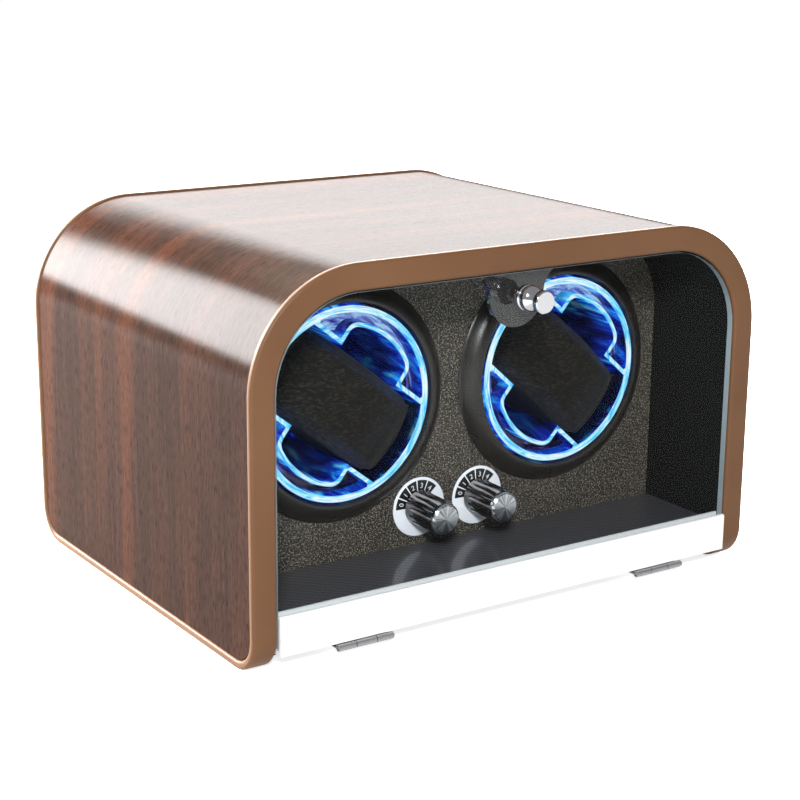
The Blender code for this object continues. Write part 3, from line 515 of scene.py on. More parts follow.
WALNUT = walnut()
TRIM = brown_trim()
PEBBLED = pebbled()
WOVEN = woven()
LEATHER = leather()
SATIN_BLACK = moulded("satin_black_plastic", srgb(34, 31, 29), 0.3, 2200, 0.00001)
GREY_GLOSS = gloss("grey_gloss_plastic", srgb(44, 42, 42), 0.03, 0.8)
GLOSS_BLACK = gloss("gloss_black_plastic", srgb(20, 20, 21), 0.1, 0.8)
BOARD = board()
FELT = felt()
SILVER = brushed("satin_silver_anodised", srgb(252, 252, 253), 0.4, (6, 900, 900), 0.25)
STEEL = brushed("zinc_plated_steel", srgb(196, 196, 198), 0.34)
DARK_STEEL = brushed("black_oxide_steel", srgb(56, 56, 60), 0.4)
NICKEL = polished("nickel_plate", srgb(214, 208, 196), 0.12)
CHROME = polished("chrome_plate", srgb(232, 232, 236))
BRASS = brushed("machined_brass", srgb(196, 158, 84), 0.28)
NYLON = moulded("white_nylon", srgb(226, 224, 214), 0.4)
CIRCUIT = circuit()
PANE = clear_pane()
WHITE_PRINT = moulded("white_print", srgb(232, 232, 236), 0.5)
BLACK_PRINT = moulded("black_print", srgb(14, 14, 15), 0.4)
DIAL = moulded("dial_silver", srgb(232, 233, 242), 0.3)
THREAD = moulded("waxed_thread", srgb(58, 54, 50), 0.5)
LAMP_BLUE = lamp("blue_diode", srgb(40, 110, 255), 6.0)


# -------------------- shapes


def arc(cx, cy, radius, start, end, steps):
    """Points round an arc, both ends included, angles in degrees."""
    points = []
    for i in range(steps + 1):
        a = math.radians(start + (end - start) * i / steps)
        points.append((cx + radius * math.cos(a), cy + radius * math.sin(a)))
    return points


def circle(cx, cy, radius, steps):
    return arc(cx, cy, radius, 0, 360, steps)[:-1]


def turned(points, angle, cx=0.0, cy=0.0):
    """Points turned about the origin, then moved."""
    c, s = math.cos(angle), math.sin(angle)
    return [(cx + x * c - y * s, cy + x * s + y * c) for x, y in points]


def placed(name, data):
    """A new object in the scene."""
    item = bpy.data.objects.new(name, data)
    bpy.context.scene.collection.objects.link(item)
    return item


def show(name, mesh, material, body, slot, *replaced):
    """Adds a finished mesh as a piece that rides on a body and may stand for CAD nodes."""
    item = placed(name, mesh)
    mesh.materials.clear()
    mesh.materials.append(material)
    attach(item, body)
    if replaced:
        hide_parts(*replaced)
    return item


def finish_mesh(shape, name, degrees=32):
    """A bmesh made into a mesh with outward faces and smooth shading up to an angle."""
    bmesh.ops.recalc_face_normals(shape, faces=shape.faces)
    mesh = bpy.data.meshes.new(name)
    shape.to_mesh(mesh)
    shape.free()
    mesh.shade_smooth()
    mesh.set_sharp_from_angle(angle=math.radians(degrees))
    return mesh


def round_edges(shape, width, steps=2, degrees=28):
    """Rounds every edge where two faces meet at more than an angle."""
    limit = math.radians(degrees)
    sharp = [e for e in shape.edges if len(e.link_faces) == 2 and e.calc_face_angle(0) > limit]
    bmesh.ops.bevel(shape, geom=sharp, offset=width, segments=steps, profile=0.5, affect="EDGES",
                    clamp_overlap=True)


def lathe(profile, x, z, steps, closed=False):
    """A bmesh turned about an axis along Y at x, z, from a profile of (radius, y). Ends on the axis close."""
    on_axis = 1e-7
    shape = bmesh.new()
    rings = []
    for radius, y in profile:
        if radius < on_axis:
            rings.append([shape.verts.new((x, y, z))])
        else:
            rings.append([shape.verts.new((px, y, pz)) for px, pz in circle(x, z, radius, steps)])
    pairs = list(zip(rings, rings[1:]))
    if closed:
        pairs.append((rings[-1], rings[0]))
    for first, second in pairs:
        for i in range(steps):
            j = (i + 1) % steps
            corners = [first[i % len(first)], first[j % len(first)]]
            corners += [second[j % len(second)], second[i % len(second)]]
            shape.faces.new(list(dict.fromkeys(corners)))
    bmesh.ops.recalc_face_normals(shape, faces=shape.faces)
    return shape


def filled(name, curve):
    """A curve or a text as a bmesh."""
    drawn = placed(name, curve)
    mesh = bpy.data.meshes.new_from_object(drawn.evaluated_get(bpy.context.evaluated_depsgraph_get()))
    bpy.data.objects.remove(drawn, do_unlink=True)
    shape = bmesh.new()
    shape.from_mesh(mesh)
    bpy.data.meshes.remove(mesh)
    return shape


def prism(name, loops, start, end, rounding, steps=1):
    """A bmesh of an outline in x and z with holes, solid from start to end along Y, with rounded rims."""
    curve = bpy.data.curves.new(name, "CURVE")
    curve.dimensions = "2D"
    curve.fill_mode = "BOTH"
    curve.extrude = (end - start) / 2 - rounding
    curve.bevel_depth = rounding
    curve.bevel_resolution = steps
    curve.offset = -rounding
    for loop in loops:
        spline = curve.splines.new("POLY")
        spline.points.add(len(loop) - 1)
        for point, (x, y) in zip(spline.points, loop):
            point.co = (x, y, 0, 1)
        spline.use_cyclic_u = True
    shape = filled(name + "_outline", curve)
    bmesh.ops.remove_doubles(shape, verts=shape.verts, dist=1e-6)
    upright = Matrix.Translation((0, (start + end) / 2, 0)) @ Matrix.Rotation(math.pi / 2, 4, "X")
    bmesh.ops.transform(shape, matrix=upright, verts=shape.verts)
    return shape


def merged(*shapes):
    """Several bmeshes as one, each still its own closed skin."""
    whole = bmesh.new()
    for shape in shapes:
        mesh = bpy.data.meshes.new("part")
        shape.to_mesh(mesh)
        shape.free()
        whole.from_mesh(mesh)
        bpy.data.meshes.remove(mesh)
    return whole


# -------------------- case

STRAIGHT_STEPS = 6


def foot_set_back(z, inset):
    """How far back from the trim's face the shell's edge is at a height, round its lower corner."""
    if z >= FOOT_RADIUS:
        return inset
    return FOOT_RADIUS - math.sqrt(max((FOOT_RADIUS - inset) ** 2 - (FOOT_RADIUS - z) ** 2, 0.0))


def shell_rows(inset):
    """Places x, z on the arch with the direction outwards: up one side, over the top and down the other."""
    foot_steps = 10
    shoulder_steps = 48
    rows = []
    for i in range(foot_steps + 1):
        z = FOOT_RADIUS - (FOOT_RADIUS - inset) * math.cos(i / foot_steps * math.pi / 2)
        rows.append((HALF, z, 1, 0))
    for i in range(1, STRAIGHT_STEPS):
        rows.append((HALF, FOOT_RADIUS + (CORNER_Z - FOOT_RADIUS) * i / STRAIGHT_STEPS, 1, 0))
    for i in range(shoulder_steps + 1):
        a = math.pi / 2 * i / shoulder_steps
        c, s = math.cos(a), math.sin(a)
        rows.append((CORNER_X + TOP_RADIUS * c, CORNER_Z + TOP_RADIUS * s, c, s))
    for i in range(1, STRAIGHT_STEPS):
        rows.append((CORNER_X * (1 - i / STRAIGHT_STEPS), TOP, 0, 1))
    return rows + [(-x, z, -nx, nz) for x, z, nx, nz in reversed([*rows, (0.0, TOP, 0, 1)])]


def make_shell():
    """The veneered shell as a fine skin, its edges set back to meet the trims."""
    inset = TRIM_THICK + GAP
    rows = shell_rows(inset)
    columns = 30
    shape = bmesh.new()
    skins = []
    for depth in (TRIM_PROUD, TRIM_PROUD + BOARD_THICK):
        skin = []
        for x, z, nx, nz in rows:
            set_back = foot_set_back(z, inset)
            line = []
            for k in range(columns + 1):
                y = FRONT + set_back + (DEPTH - 2 * set_back) * k / columns
                line.append(shape.verts.new((x - nx * depth, y, z - nz * depth)))
            skin.append(line)
        skins.append(skin)
    last = len(rows) - 1
    for skin in skins:
        for i in range(last):
            for k in range(columns):
                shape.faces.new((skin[i][k], skin[i + 1][k], skin[i + 1][k + 1], skin[i][k + 1]))
    outer, inner = skins
    for i in range(last):
        for k in (0, columns):
            shape.faces.new((outer[i][k], inner[i][k], inner[i + 1][k], outer[i + 1][k]))
    for i in (0, last):
        for k in range(columns):
            shape.faces.new((outer[i][k], outer[i][k + 1], inner[i][k + 1], inner[i][k]))
    show("veneered_shell", finish_mesh(shape, "veneered_shell"), WALNUT, "case", "walnut_grain", "wood_shell")


def trim_path(seam, rear):
    """Centre line of one edge strip, from its seam under one side, over the top to the other seam."""
    half = HALF - TRIM_WIDTH / 2
    top = TOP - TRIM_WIDTH / 2
    deep = TRIM_THICK / 2
    bend = TOP_RADIUS - TRIM_WIDTH / 2
    shares = [i / STRAIGHT_STEPS for i in range(1, STRAIGHT_STEPS)]
    points = [(-half, seam, deep)]
    points += [(-half, seam + (FOOT_RADIUS - seam) * t, deep) for t in shares]
    points += [(-half, y, z) for y, z in arc(FOOT_RADIUS, FOOT_RADIUS, FOOT_RADIUS - deep, 270, 180, 16)]
    points += [(-half, deep, FOOT_RADIUS + (CORNER_Z - FOOT_RADIUS) * t) for t in shares]
    points += [(x, deep, z) for x, z in arc(-CORNER_X, CORNER_Z, bend, 180, 90, 36)]
    points += [(-CORNER_X * (1 - t), deep, top) for t in shares]
    points += [(-x, y, z) for x, y, z in reversed([*points, (0.0, deep, top)])]
    if rear:
        points = [(x, DEPTH - y, z) for x, y, z in points]
    return [Vector((x, FRONT + y, z)) for x, y, z in points]


def make_trim(name, seam, rear):
    """A moulded strip with round edges, swept round an end of the case."""
    half_flat = TRIM_WIDTH / 2 - TRIM_ROUND
    half_thick = TRIM_THICK / 2 - TRIM_ROUND
    section = []
    for sx, sy, first in ((1, 1, 0), (-1, 1, 90), (-1, -1, 180), (1, -1, 270)):
        section += arc(sx * half_flat, sy * half_thick, TRIM_ROUND, first, first + 90, 5)
    path = trim_path(seam, rear)
    shape = bmesh.new()
    facing = 1 if rear else -1
    across = Vector((1, 0, 0))
    loops = []
    for i, point in enumerate(path):
        before, after = path[max(i - 1, 0)], path[min(i + 1, len(path) - 1)]
        steps = [step.normalized() for step in (point - before, after - point) if step.length > 1e-9]
        along = sum(steps, Vector()).normalized()
        across = (across - across.dot(along) * along).normalized()
        outward = across.cross(along) * -facing
        loops.append([shape.verts.new(point + across * u + outward * v) for u, v in section])
    count = len(section)
    for first, second in zip(loops, loops[1:]):
        for i in range(count):
            j = (i + 1) % count
            shape.faces.new((first[i], first[j], second[j], second[i]))
    for loop in (loops[0], loops[-1]):
        shape.faces.new(loop)
    show(name + "_moulding", finish_mesh(shape, name, 50), TRIM, "case", "brown_trim", name)


make_shell()
make_trim("front_edge_trim", SEAM - FRONT, False)
make_trim("rear_edge_trim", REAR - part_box("rear_edge_trim")[0].y, True)


# -------------------- panel and collars


def make_collar(side):
    """Smooth black collar round a rotor opening, with its sleeve through the panel."""
    at = ROTOR_AT[side]
    low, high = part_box(f"rotor_bezel_{side}")
    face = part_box("front_panel")[0].y - GAP
    outer = (high.x - low.x) / 2
    bore = BEZEL_BORE
    lip = 0.0010
    rim = 0.0004
    rim_high = 0.0006
    bulge = 1.9
    swell_steps = 14
    swell = []
    for i in range(swell_steps + 1):
        t = i / swell_steps
        radius = bore + lip + (outer - bore - lip - rim) * t
        swell.append((radius, low.y + (face - low.y - rim_high) * t ** bulge))
    profile = [(bore, low.y + 0.0008), (bore + 0.0003, low.y + 0.0002), *swell]
    profile += [(outer, face - rim_high / 2), (outer, face), (bore + BEZEL_SLEEVE, face)]
    profile += [(bore + BEZEL_SLEEVE, high.y), (bore, high.y)]
    mesh = finish_mesh(lathe(profile, at.x, at.z, 128, closed=True), "collar", 40)
    show(f"collar_{side}", mesh, SATIN_BLACK, "case", "satin_black", f"rotor_bezel_{side}")


def make_lamps(side):
    """A ring of small blue diodes on the light ring's board."""
    at = ROTOR_AT[side]
    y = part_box(f"light_ring_{side}")[1].y
    count = 24
    ring_radius = 0.0475
    width, high, length = 0.0028, 0.0012, 0.0035
    out = Matrix.Translation((ring_radius, high / 2, 0)) @ Matrix.Diagonal((width, high, length, 1))
    shape = bmesh.new()
    for i in range(count):
        turn = Matrix.Translation((at.x, y, at.z)) @ Matrix.Rotation(math.tau * i / count, 4, "Y")
        bmesh.ops.create_cube(shape, size=1, matrix=turn @ out)
    round_edges(shape, 0.0003)
    show(f"diodes_{side}", finish_mesh(shape, "diodes"), LAMP_BLUE, "case", "clear_acrylic")


# -------------------- rotors

POCKET_CORNER = 0.0045
WEB_CORNER = 0.0060
CORNER_STEPS = 6
LOBE_STEPS = 26


def lobe_line(half_width, radius, corner):
    """From one side of a lobe to the other: a corner, the arc about the rotor's centre, and a corner."""
    corner_x = half_width - corner
    corner_y = math.sqrt((radius - corner) ** 2 - corner_x ** 2)
    touch = math.degrees(math.atan2(corner_y, corner_x))
    points = arc(corner_x, corner_y, corner, 0, touch, CORNER_STEPS)
    points += arc(0, 0, radius, touch, 180 - touch, LOBE_STEPS)[1:-1]
    return points + arc(-corner_x, corner_y, corner, 180 - touch, 180, CORNER_STEPS)


def pocket_outline():
    """The watch pocket: a straight channel across the rotor with a round-ended lobe on each side."""
    rim = ROTOR_RADIUS - RING_THICK - GAP
    end = math.degrees(math.asin(SLOT_HALF / rim))
    lobe = lobe_line(LOBE_HALF, LOBE_RADIUS, POCKET_CORNER)
    half = [(LOBE_HALF, SLOT_HALF), *lobe, (-LOBE_HALF, SLOT_HALF)]
    half += arc(0, 0, rim, 180 - end, 180 + end, 16)
    return half + [(-x, -y) for x, y in half]


def web_outline(sign):
    """The recess between a lobe's wall and the outer ring, on one side of the channel."""
    rim = ROTOR_RADIUS - RING_THICK
    edge = SLOT_HALF + WALL
    wall_x = LOBE_HALF + WALL
    blunt = 0.0012
    blunt_degrees = 2
    start = math.degrees(math.asin(edge / rim))
    tip_x = rim * math.cos(math.radians(start)) - blunt
    points = arc(0, 0, rim, start + blunt_degrees, 180 - blunt_degrees - start, 40)
    points += [(-tip_x, edge), (-wall_x, edge)]
    points += reversed(lobe_line(wall_x, LOBE_RADIUS + WALL, WEB_CORNER))
    points += [(wall_x, edge), (tip_x, edge)]
    return [(x * sign, y * sign) for x, y in points]


def make_rotor(side):
    """The clear rotor: lit walls, dim webs set back between them, and a floor."""
    at = ROTOR_AT[side]
    low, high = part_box(f"rotor_cup_{side}")
    tilt = TILTS[side]
    body = f"rotor_{side}"
    outer = circle(at.x, at.z, ROTOR_RADIUS, 160)
    pocket = turned(pocket_outline(), tilt, at.x, at.z)
    recesses = [turned(web_outline(sign), tilt, at.x, at.z) for sign in (1, -1)]
    walls = prism("walls", [outer, pocket, *recesses], low.y, high.y - ROTOR_FLOOR, rounding=0.00045, steps=2)
    skin = lit_acrylic(f"lit_walls_{side}", at, low.y, tilt)
    show(f"rotor_walls_{side}", finish_mesh(walls, "rotor_walls", 40), skin, body, "clear_acrylic",
         f"rotor_cup_{side}")
    front, back = low.y + WEB_DEEP[0], low.y + WEB_DEEP[1]
    webs = [prism("web", [recess], front, back, rounding=0.0002) for recess in recesses]
    skin = web_acrylic(f"web_{side}", at)
    show(f"rotor_webs_{side}", finish_mesh(merged(*webs), "rotor_webs"), skin, body, "clear_acrylic")
    glue_line = 0.00005
    disc = circle(at.x, at.z, ROTOR_RADIUS, 128)
    floor = prism("floor", [disc], high.y - ROTOR_FLOOR + glue_line, high.y, rounding=0.0004)
    skin = deep_acrylic(f"lit_floor_{side}", at)
    show(f"rotor_floor_{side}", finish_mesh(floor, "rotor_floor"), skin, body, "clear_acrylic")


# -------------------- pillows

PILLOW_BOX = {name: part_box(f"pillow_{name}") for name in SIDES}
SIDE_GAP = 0.0007
END_GAP = 0.0004
END_CROWN = 0.0095
SIDE_CROWN = 0.0016
BACK_CROWN = 0.004
WRINKLE_DEEP = 0.00022
WRINKLES_PER_METRE = (95, 95, 60)
SEAM_DEEP = 0.0007
# shares of the cushion's half length, width or depth
SEAM_AT = 0.86
SEAM_WIDE = 0.02
DRAWN_IN = 0.022
CORNER_FROM = 0.72
CORNER_PULL = 0.13


def pillow_point(side, u, v, w):
    """A place on the cushion, from -1 to 1 along it, across it and from front to back."""
    at = ROTOR_AT[side]
    low, high = PILLOW_BOX[side]
    rim = ROTOR_RADIUS - RING_THICK - GAP - END_GAP
    across = v * (SLOT_HALF - SIDE_GAP)
    along = u * math.sqrt(rim ** 2 - across ** 2)
    crown = END_CROWN * abs(along / rim) ** 1.9 + SIDE_CROWN * abs(v) ** 4
    y = low.y + crown + (w + 1) / 2 * (high.y - low.y - crown - BACK_CROWN * abs(u) ** 4)
    drawn_in = 1 - DRAWN_IN * (1 - u ** 2) * (1 - w ** 2)
    wrinkle = noise.noise(Vector((along, across, y)) * Vector(WRINKLES_PER_METRE)) * WRINKLE_DEEP
    groove = SEAM_DEEP * math.exp(-((abs(u) - SEAM_AT) / SEAM_WIDE) ** 2)
    if abs(w) > abs(v):
        y += math.copysign(groove, -w)
        across *= drawn_in
    else:
        across *= drawn_in * (1 - groove / SLOT_HALF)
    (x, z), = turned([(along, across + wrinkle)], TILTS[side], at.x, at.z)
    return Vector((x, y + wrinkle, z))


def make_pillow(side):
    """A leather cushion, crowned along its length, its ends following the rotor's rim."""
    shape = bmesh.new()
    bmesh.ops.create_cube(shape, size=2)
    bmesh.ops.subdivide_edges(shape, edges=shape.edges, cuts=47, use_grid_fill=True)
    for vert in shape.verts:
        u, v, w = vert.co
        rounded = []
        for value, a, b in ((u, v, w), (v, u, w), (w, u, v)):
            corner = max(0.0, max(abs(a), abs(b)) - CORNER_FROM) / (1 - CORNER_FROM)
            rounded.append(value * (1 - CORNER_PULL * corner * abs(value) ** 6))
        vert.co = pillow_point(side, *rounded)
    mesh = finish_mesh(shape, "pillow", 80)
    item = show(f"leather_pillow_{side}", mesh, LEATHER, f"pillow_{side}", "black_leather", f"pillow_{side}")
    smooth = item.modifiers.new("smooth", "SUBSURF")
    smooth.levels = 1
    smooth.render_levels = 1


def make_stitches(side):
    """A row of stitches on the cushion's front, just inside each seam."""
    count = 15
    row_half = 0.84
    inside_seam = 0.05
    just_under = -0.97
    thick, length = 0.00022, 0.00075
    stitch = Matrix.Rotation(-TILTS[side], 4, "Y") @ Matrix.Diagonal((thick, thick, length, 1))
    shape = bmesh.new()
    for end in (-1, 1):
        for i in range(count):
            v = row_half * (2 * i / (count - 1) - 1)
            point = pillow_point(side, end * (SEAM_AT - inside_seam), v, just_under)
            bmesh.ops.create_uvsphere(shape, u_segments=8, v_segments=6, radius=1,
                                      matrix=Matrix.Translation(point) @ stitch)
    show(f"pillow_stitches_{side}", finish_mesh(shape, "stitches"), THREAD, f"pillow_{side}", "black_leather")


for name in SIDES:
    make_collar(name)
    make_lamps(name)
    make_rotor(name)
    make_pillow(name)
    make_stitches(name)


# -------------------- controls

DIAL_RADIUS = 0.01305
WINDOW = (0.0066, 0.0118)
WINDOW_COUNT = 5
WINDOW_ARC = (180.0, 40.0)
WINDOW_GAP = 3.0
PRINT_THICK = 0.00006
DIGIT_SIZE = 0.0032
SPINDLE_HOLE = 0.0036
RIBS = 16
RIB_STEPS = 10
RIB_DEPTH = 0.06
RIBS_BEHIND_FRONT = 0.0011
RIBS_BEFORE_BACK = 0.0037
# outlines from the axis outwards: how far in from the rim, and how far from the front or the back
KNOB_FRONT = ((0.0016, 0.0010), (0.0008, 0.0012), (0.0004, 0.0020))
KNOB_BACK = ((0.0001, 0.0040), (0.0001, 0.0036), (0.0, 0.0030), (0.0, 0.0003), (0.0003, 0.0))
# the door knob's outline: radius, and how far behind its flat end
PULL_OUTLINE = (
    (0.0042, 0.0), (0.0046, 0.0004), (0.0046, 0.0024), (0.0041, 0.0034), (0.0027, 0.0046),
    (0.0024, 0.0054), (0.0027, 0.0062), (0.0044, 0.0072), (0.0052, 0.0083), (0.0054, 0.0094),
    (0.0052, 0.0104), (0.0047, 0.0110), (0.0047, 0.0113), (0.0052, 0.0116),
)


def make_dial(side):
    """The silver dial plate, its row of printed black windows and the digit in each."""
    at = DIAL_AT[side]
    low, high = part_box(f"dial_plate_{side}")
    hole = circle(at.x, at.z, SPINDLE_HOLE, 32)
    plate = prism("dial", [circle(at.x, at.z, DIAL_RADIUS, 96), hole], low.y, high.y, rounding=0.0001)
    show(f"dial_{side}", finish_mesh(plate, "dial"), DIAL, "case", "silver_anodised", f"dial_plate_{side}")
    step = (WINDOW_ARC[1] - WINDOW_ARC[0]) / WINDOW_COUNT
    windows = []
    for i in range(WINDOW_COUNT):
        start = WINDOW_ARC[0] + step * i - WINDOW_GAP / 2
        end = WINDOW_ARC[0] + step * (i + 1) + WINDOW_GAP / 2
        outline = arc(at.x, at.z, WINDOW[1], start, end, 8) + arc(at.x, at.z, WINDOW[0], end, start, 8)
        windows.append(prism("window", [outline], low.y - PRINT_THICK, low.y + 0.0001, rounding=0.00001))
        add_digit(side, i, (start + end) / 2, at, low.y - PRINT_THICK)
    mesh = finish_mesh(merged(*windows), "windows")
    show(f"dial_windows_{side}", mesh, BLACK_PRINT, "case", "silver_anodised")


def add_digit(side, number, angle, at, y):
    """One printed digit, its top pointing outwards."""
    text = bpy.data.curves.new("digit", "FONT")
    text.body = str(number)
    text.size = DIGIT_SIZE
    text.extrude = PRINT_THICK
    text.align_x = "CENTER"
    text.align_y = "CENTER"
    shape = filled("digit", text)
    radius = (WINDOW[0] + WINDOW[1]) / 2
    turn = math.radians(angle)
    place = Matrix.Translation((at.x + radius * math.cos(turn), y, at.z + radius * math.sin(turn)))
    lean = Matrix.Rotation(math.pi / 2 - turn, 4, "Y")
    bmesh.ops.transform(shape, matrix=place @ lean @ Matrix.Rotation(math.pi / 2, 4, "X"), verts=shape.verts)
    show(f"digit_{number}_{side}", finish_mesh(shape, "digit"), WHITE_PRINT, "case", "silver_anodised")


def cut_ribs(shape, at, start, end):
    """Presses narrow grooves between the ribs of a knob turned about the axis through a place."""
    for vert in shape.verts:
        if start < vert.co.y < end:
            angle = math.atan2(vert.co.z - at.z, vert.co.x - at.x)
            groove = 1 - RIB_DEPTH * (0.5 - 0.5 * math.cos(angle * RIBS)) ** 5
            vert.co.x = at.x + (vert.co.x - at.x) * groove
            vert.co.z = at.z + (vert.co.z - at.z) * groove


def make_control(side):
    """A ribbed glossy black knob with a bright ring and a turned cap let into its end."""
    at = DIAL_AT[side]
    low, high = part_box(f"control_knob_{side}")
    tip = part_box(f"knob_cap_{side}")[0].y
    body = f"control_{side}"
    radius = (high.x - low.x) / 2
    profile = [(0.0, low.y + KNOB_FRONT[0][1])]
    profile += [(radius - inset, low.y + y) for inset, y in KNOB_FRONT]
    profile += [(radius - inset, high.y - y) for inset, y in KNOB_BACK]
    profile += [(0.0, high.y)]
    shape = lathe(profile, at.x, at.z, RIBS * RIB_STEPS)
    cut_ribs(shape, at, low.y + RIBS_BEHIND_FRONT, high.y - RIBS_BEFORE_BACK)
    skin = ribbed_black(f"ribbed_black_{side}", at)
    show(f"knob_{side}", finish_mesh(shape, "knob"), skin, body, "gloss_black", f"control_knob_{side}")

    seat = low.y + 0.0012
    ring = radius - 0.0009
    bore = ring - 0.0014
    collar = [(bore, seat), (bore, tip + 0.0005), (ring - 0.0003, tip + 0.0005), (ring, tip + 0.0008),
              (ring, seat - 0.0001)]
    mesh = finish_mesh(lathe(collar, at.x, at.z, 64, closed=True), "ring")
    show(f"knob_ring_{side}", mesh, CHROME, body, "brushed_aluminium")

    cap = ring - 0.0004
    face = [(0.0, tip), (cap - 0.0005, tip), (cap, tip + 0.0004), (cap, seat), (0.0, seat)]
    skin = turned_face(f"turned_cap_{side}", at, srgb(236, 236, 240))
    mesh = finish_mesh(lathe(face, at.x, at.z, 96), "cap")
    show(f"cap_{side}", mesh, skin, body, "brushed_aluminium", f"knob_cap_{side}")


def make_door_knob():
    """The chrome pull: a flat end, a thin neck, a bulb and a ringed foot."""
    low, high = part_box("door_knob")
    back = high.y - 0.0001
    profile = [(0.0, low.y), *((radius, low.y + y) for radius, y in PULL_OUTLINE)]
    profile += [(PULL_OUTLINE[-1][0], back), (0.0, back)]
    shape = lathe(profile, KNOB_AT.x, KNOB_AT.z, 72)
    show("door_pull", finish_mesh(shape, "pull", 40), CHROME, "door", "chrome", "door_knob")


for name in SIDES:
    make_dial(name)
    make_control(name)
make_door_knob()


# -------------------- fastenings

PANEL_SCREWS = range(1, 5)


def cross_recess(x, z, y):
    """The cross-shaped driver slot of a screw head that faces backwards."""
    arm, half, deep = 0.0011, 0.00028, 0.0004
    loop = []
    for turn in range(4):
        loop += turned([(half, half), (half, arm), (-half, arm)], turn * math.pi / 2, x, z)
    return prism("recess", [loop], y - deep, y + 0.00003, rounding=0.00001)


def make_back_fastenings():
    """Driver slots in the back panel's screws."""
    slots = []
    for i in PANEL_SCREWS:
        at = middle(f"back_panel_screw_{i}")
        slots.append(cross_recess(at.x, at.z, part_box(f"back_panel_screw_{i}")[1].y))
    show("screw_slots", finish_mesh(merged(*slots), "slots"), BLACK_PRINT, "case", "dark_steel")


def make_hinge_screws(side):
    """Small pan-head screws holding a hinge's case leaf up to the base board."""
    low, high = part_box(f"hinge_case_leaf_{side}")
    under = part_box("base_board")[0].z - GAP - LEAF_THICK
    from_end = 0.005
    from_back = 0.0035
    pan_head = [(0.0, -0.0007), (0.0009, -0.0006), (0.0014, -0.0003), (0.0016, 0.0), (0.0, 0.0)]
    heads = []
    for x in (low.x + from_end, high.x - from_end):
        head = lathe(pan_head, 0, 0, 24)
        place = Matrix.Translation((x, high.y - from_back, under)) @ Matrix.Rotation(math.pi / 2, 4, "X")
        bmesh.ops.transform(head, matrix=place, verts=head.verts)
        heads.append(head)
    show(f"hinge_screws_{side}", finish_mesh(merged(*heads), "screws"), STEEL, "case", "steel")


make_back_fastenings()
for name in SIDES:
    make_hinge_screws(name)


# -------------------- materials of the CAD nodes that stay

KEPT = {
    "front_panel": PEBBLED, "inner_liner": FELT, "floor_liner": WOVEN, "base_board": BOARD,
    "back_panel": BOARD, "motor_plate": BOARD, "catch_tab": GREY_GLOSS, "catch_magnet": NICKEL,
    "dc_jack": GLOSS_BLACK,
    "light_switch": GLOSS_BLACK, "light_rocker": GLOSS_BLACK, "door_pane": PANE, "door_rail": SILVER,
    "door_knob_screw": NICKEL, "control_board": CIRCUIT,
    **{f"back_panel_screw_{i}": DARK_STEEL for i in PANEL_SCREWS},
}
for name in SIDES:
    KEPT.update({
        f"light_ring_{name}": CIRCUIT, f"rotor_hub_{name}": NYLON, f"rotor_bearing_{name}": STEEL,
        f"drive_gear_{name}": NYLON, f"motor_{name}": STEEL, f"motor_bracket_{name}": STEEL,
        f"motor_pinion_{name}": BRASS, f"rotary_switch_{name}": STEEL, f"switch_spindle_{name}": STEEL,
        f"hinge_case_leaf_{name}": STEEL, f"hinge_door_leaf_{name}": STEEL, f"hinge_pin_{name}": STEEL,
    })
SOFT_EDGED = ("catch_tab", "door_rail", "light_rocker", "light_switch")
SOFT_EDGE = 0.0003

for node, material in KEPT.items():
    NODES[node].data.materials.clear()
    NODES[node].data.materials.append(material)
for node in SOFT_EDGED:
    edge = NODES[node].modifiers.new("soft_edges", "BEVEL")
    edge.width = SOFT_EDGE
    edge.segments = 2
    edge.limit_method = "ANGLE"
    edge.angle_limit = math.radians(40)


# -------------------- stage, light and camera


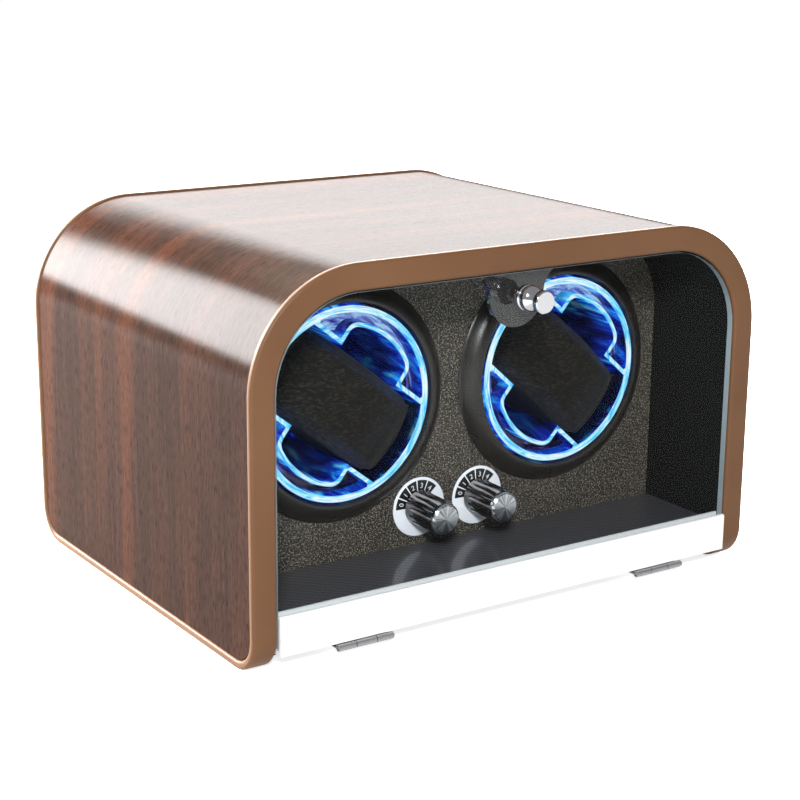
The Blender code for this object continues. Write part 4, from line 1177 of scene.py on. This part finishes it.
def make_stage():
    """A pale floor. The camera sees it near white, while it throws less light than that on the box."""
    floor_half = 20
    below = 0.0001
    mesh = bpy.data.meshes.new("floor")
    shape = bmesh.new()
    bmesh.ops.create_grid(shape, x_segments=1, y_segments=1, size=floor_half)
    shape.to_mesh(mesh)
    shape.free()
    floor = placed("floor", mesh)
    floor.location = (0, 0, -below)
    g = Graph("pale_floor", roughness=0.7)
    dust = g.noise(g.place, 3, 2)
    pale = g.ramp(dust, [(0.3, srgb(244, 244, 244)), (0.7, srgb(246, 246, 246))])
    seen = g.add("LightPath").outputs["Is Camera Ray"]
    colour = g.blend(seen, srgb(150, 150, 150), pale)
    glow = g.span(seen, 0, 1, 0.5, 0.84)
    mesh.materials.append(g.set(base_color=colour, emission_color=pale, emission_strength=glow).material)


def softbox(name, location, target, width, height, power, colour=(1, 1, 1)):
    """A rectangular light aimed at a place."""
    light = bpy.data.lights.new(name, "AREA")
    light.shape = "RECTANGLE"
    light.size = width
    light.size_y = height
    light.energy = power
    light.color = colour
    item = placed(name, light)
    item.location = location
    item.rotation_euler = (Vector(target) - Vector(location)).to_track_quat("-Z", "Y").to_euler()


def make_lights():
    """A dim even sky, two softboxes behind that shine on the wood, a small key light and a warm one above."""
    world = bpy.data.worlds.new("studio")
    bpy.context.scene.world = world
    world.use_nodes = True
    sky = world.node_tree.nodes["Background"].inputs
    sky["Color"].default_value = (0.95, 0.97, 1.0, 1)
    sky["Strength"].default_value = 0.26
    softbox("back_left", (-0.77, 1.2, 0.60), target=(-0.1, 0, 0.13), width=0.8, height=0.8, power=105)
    softbox("back_right", (0.9, 1.5, 0.62), target=(0, 0, 0.15), width=1.8, height=0.6, power=48)
    softbox("key", (-0.70, -1.1, 0.80), target=(0, -0.04, 0.07), width=0.22, height=0.22, power=27)
    softbox("warm_top", (-0.15, 1.0, 1.15), target=(0, 0, 0.1), width=1.2, height=0.6, power=22,
            colour=(1.0, 0.88, 0.74))


def make_camera():
    """A long lens at the front left, looking slightly down."""
    yaw, pitch, roll = math.radians(33.83), math.radians(15.13), math.radians(0.52)
    camera = placed("camera", bpy.data.cameras.new("camera"))
    camera.data.sensor_width = 36
    camera.data.lens = 81.09
    camera.data.clip_start = 0.01
    camera.data.clip_end = 30
    camera.location = (-0.4295, -0.6450, 0.2802)
    raised = Matrix.Rotation(math.pi / 2 - pitch, 3, "X") @ Matrix.Rotation(roll, 3, "Z")
    camera.rotation_euler = (Matrix.Rotation(-yaw, 3, "Z") @ raised).to_euler()
    bpy.context.scene.camera = camera


make_stage()
make_lights()
make_camera()
bpy.context.scene.view_settings.view_transform = "Standard"
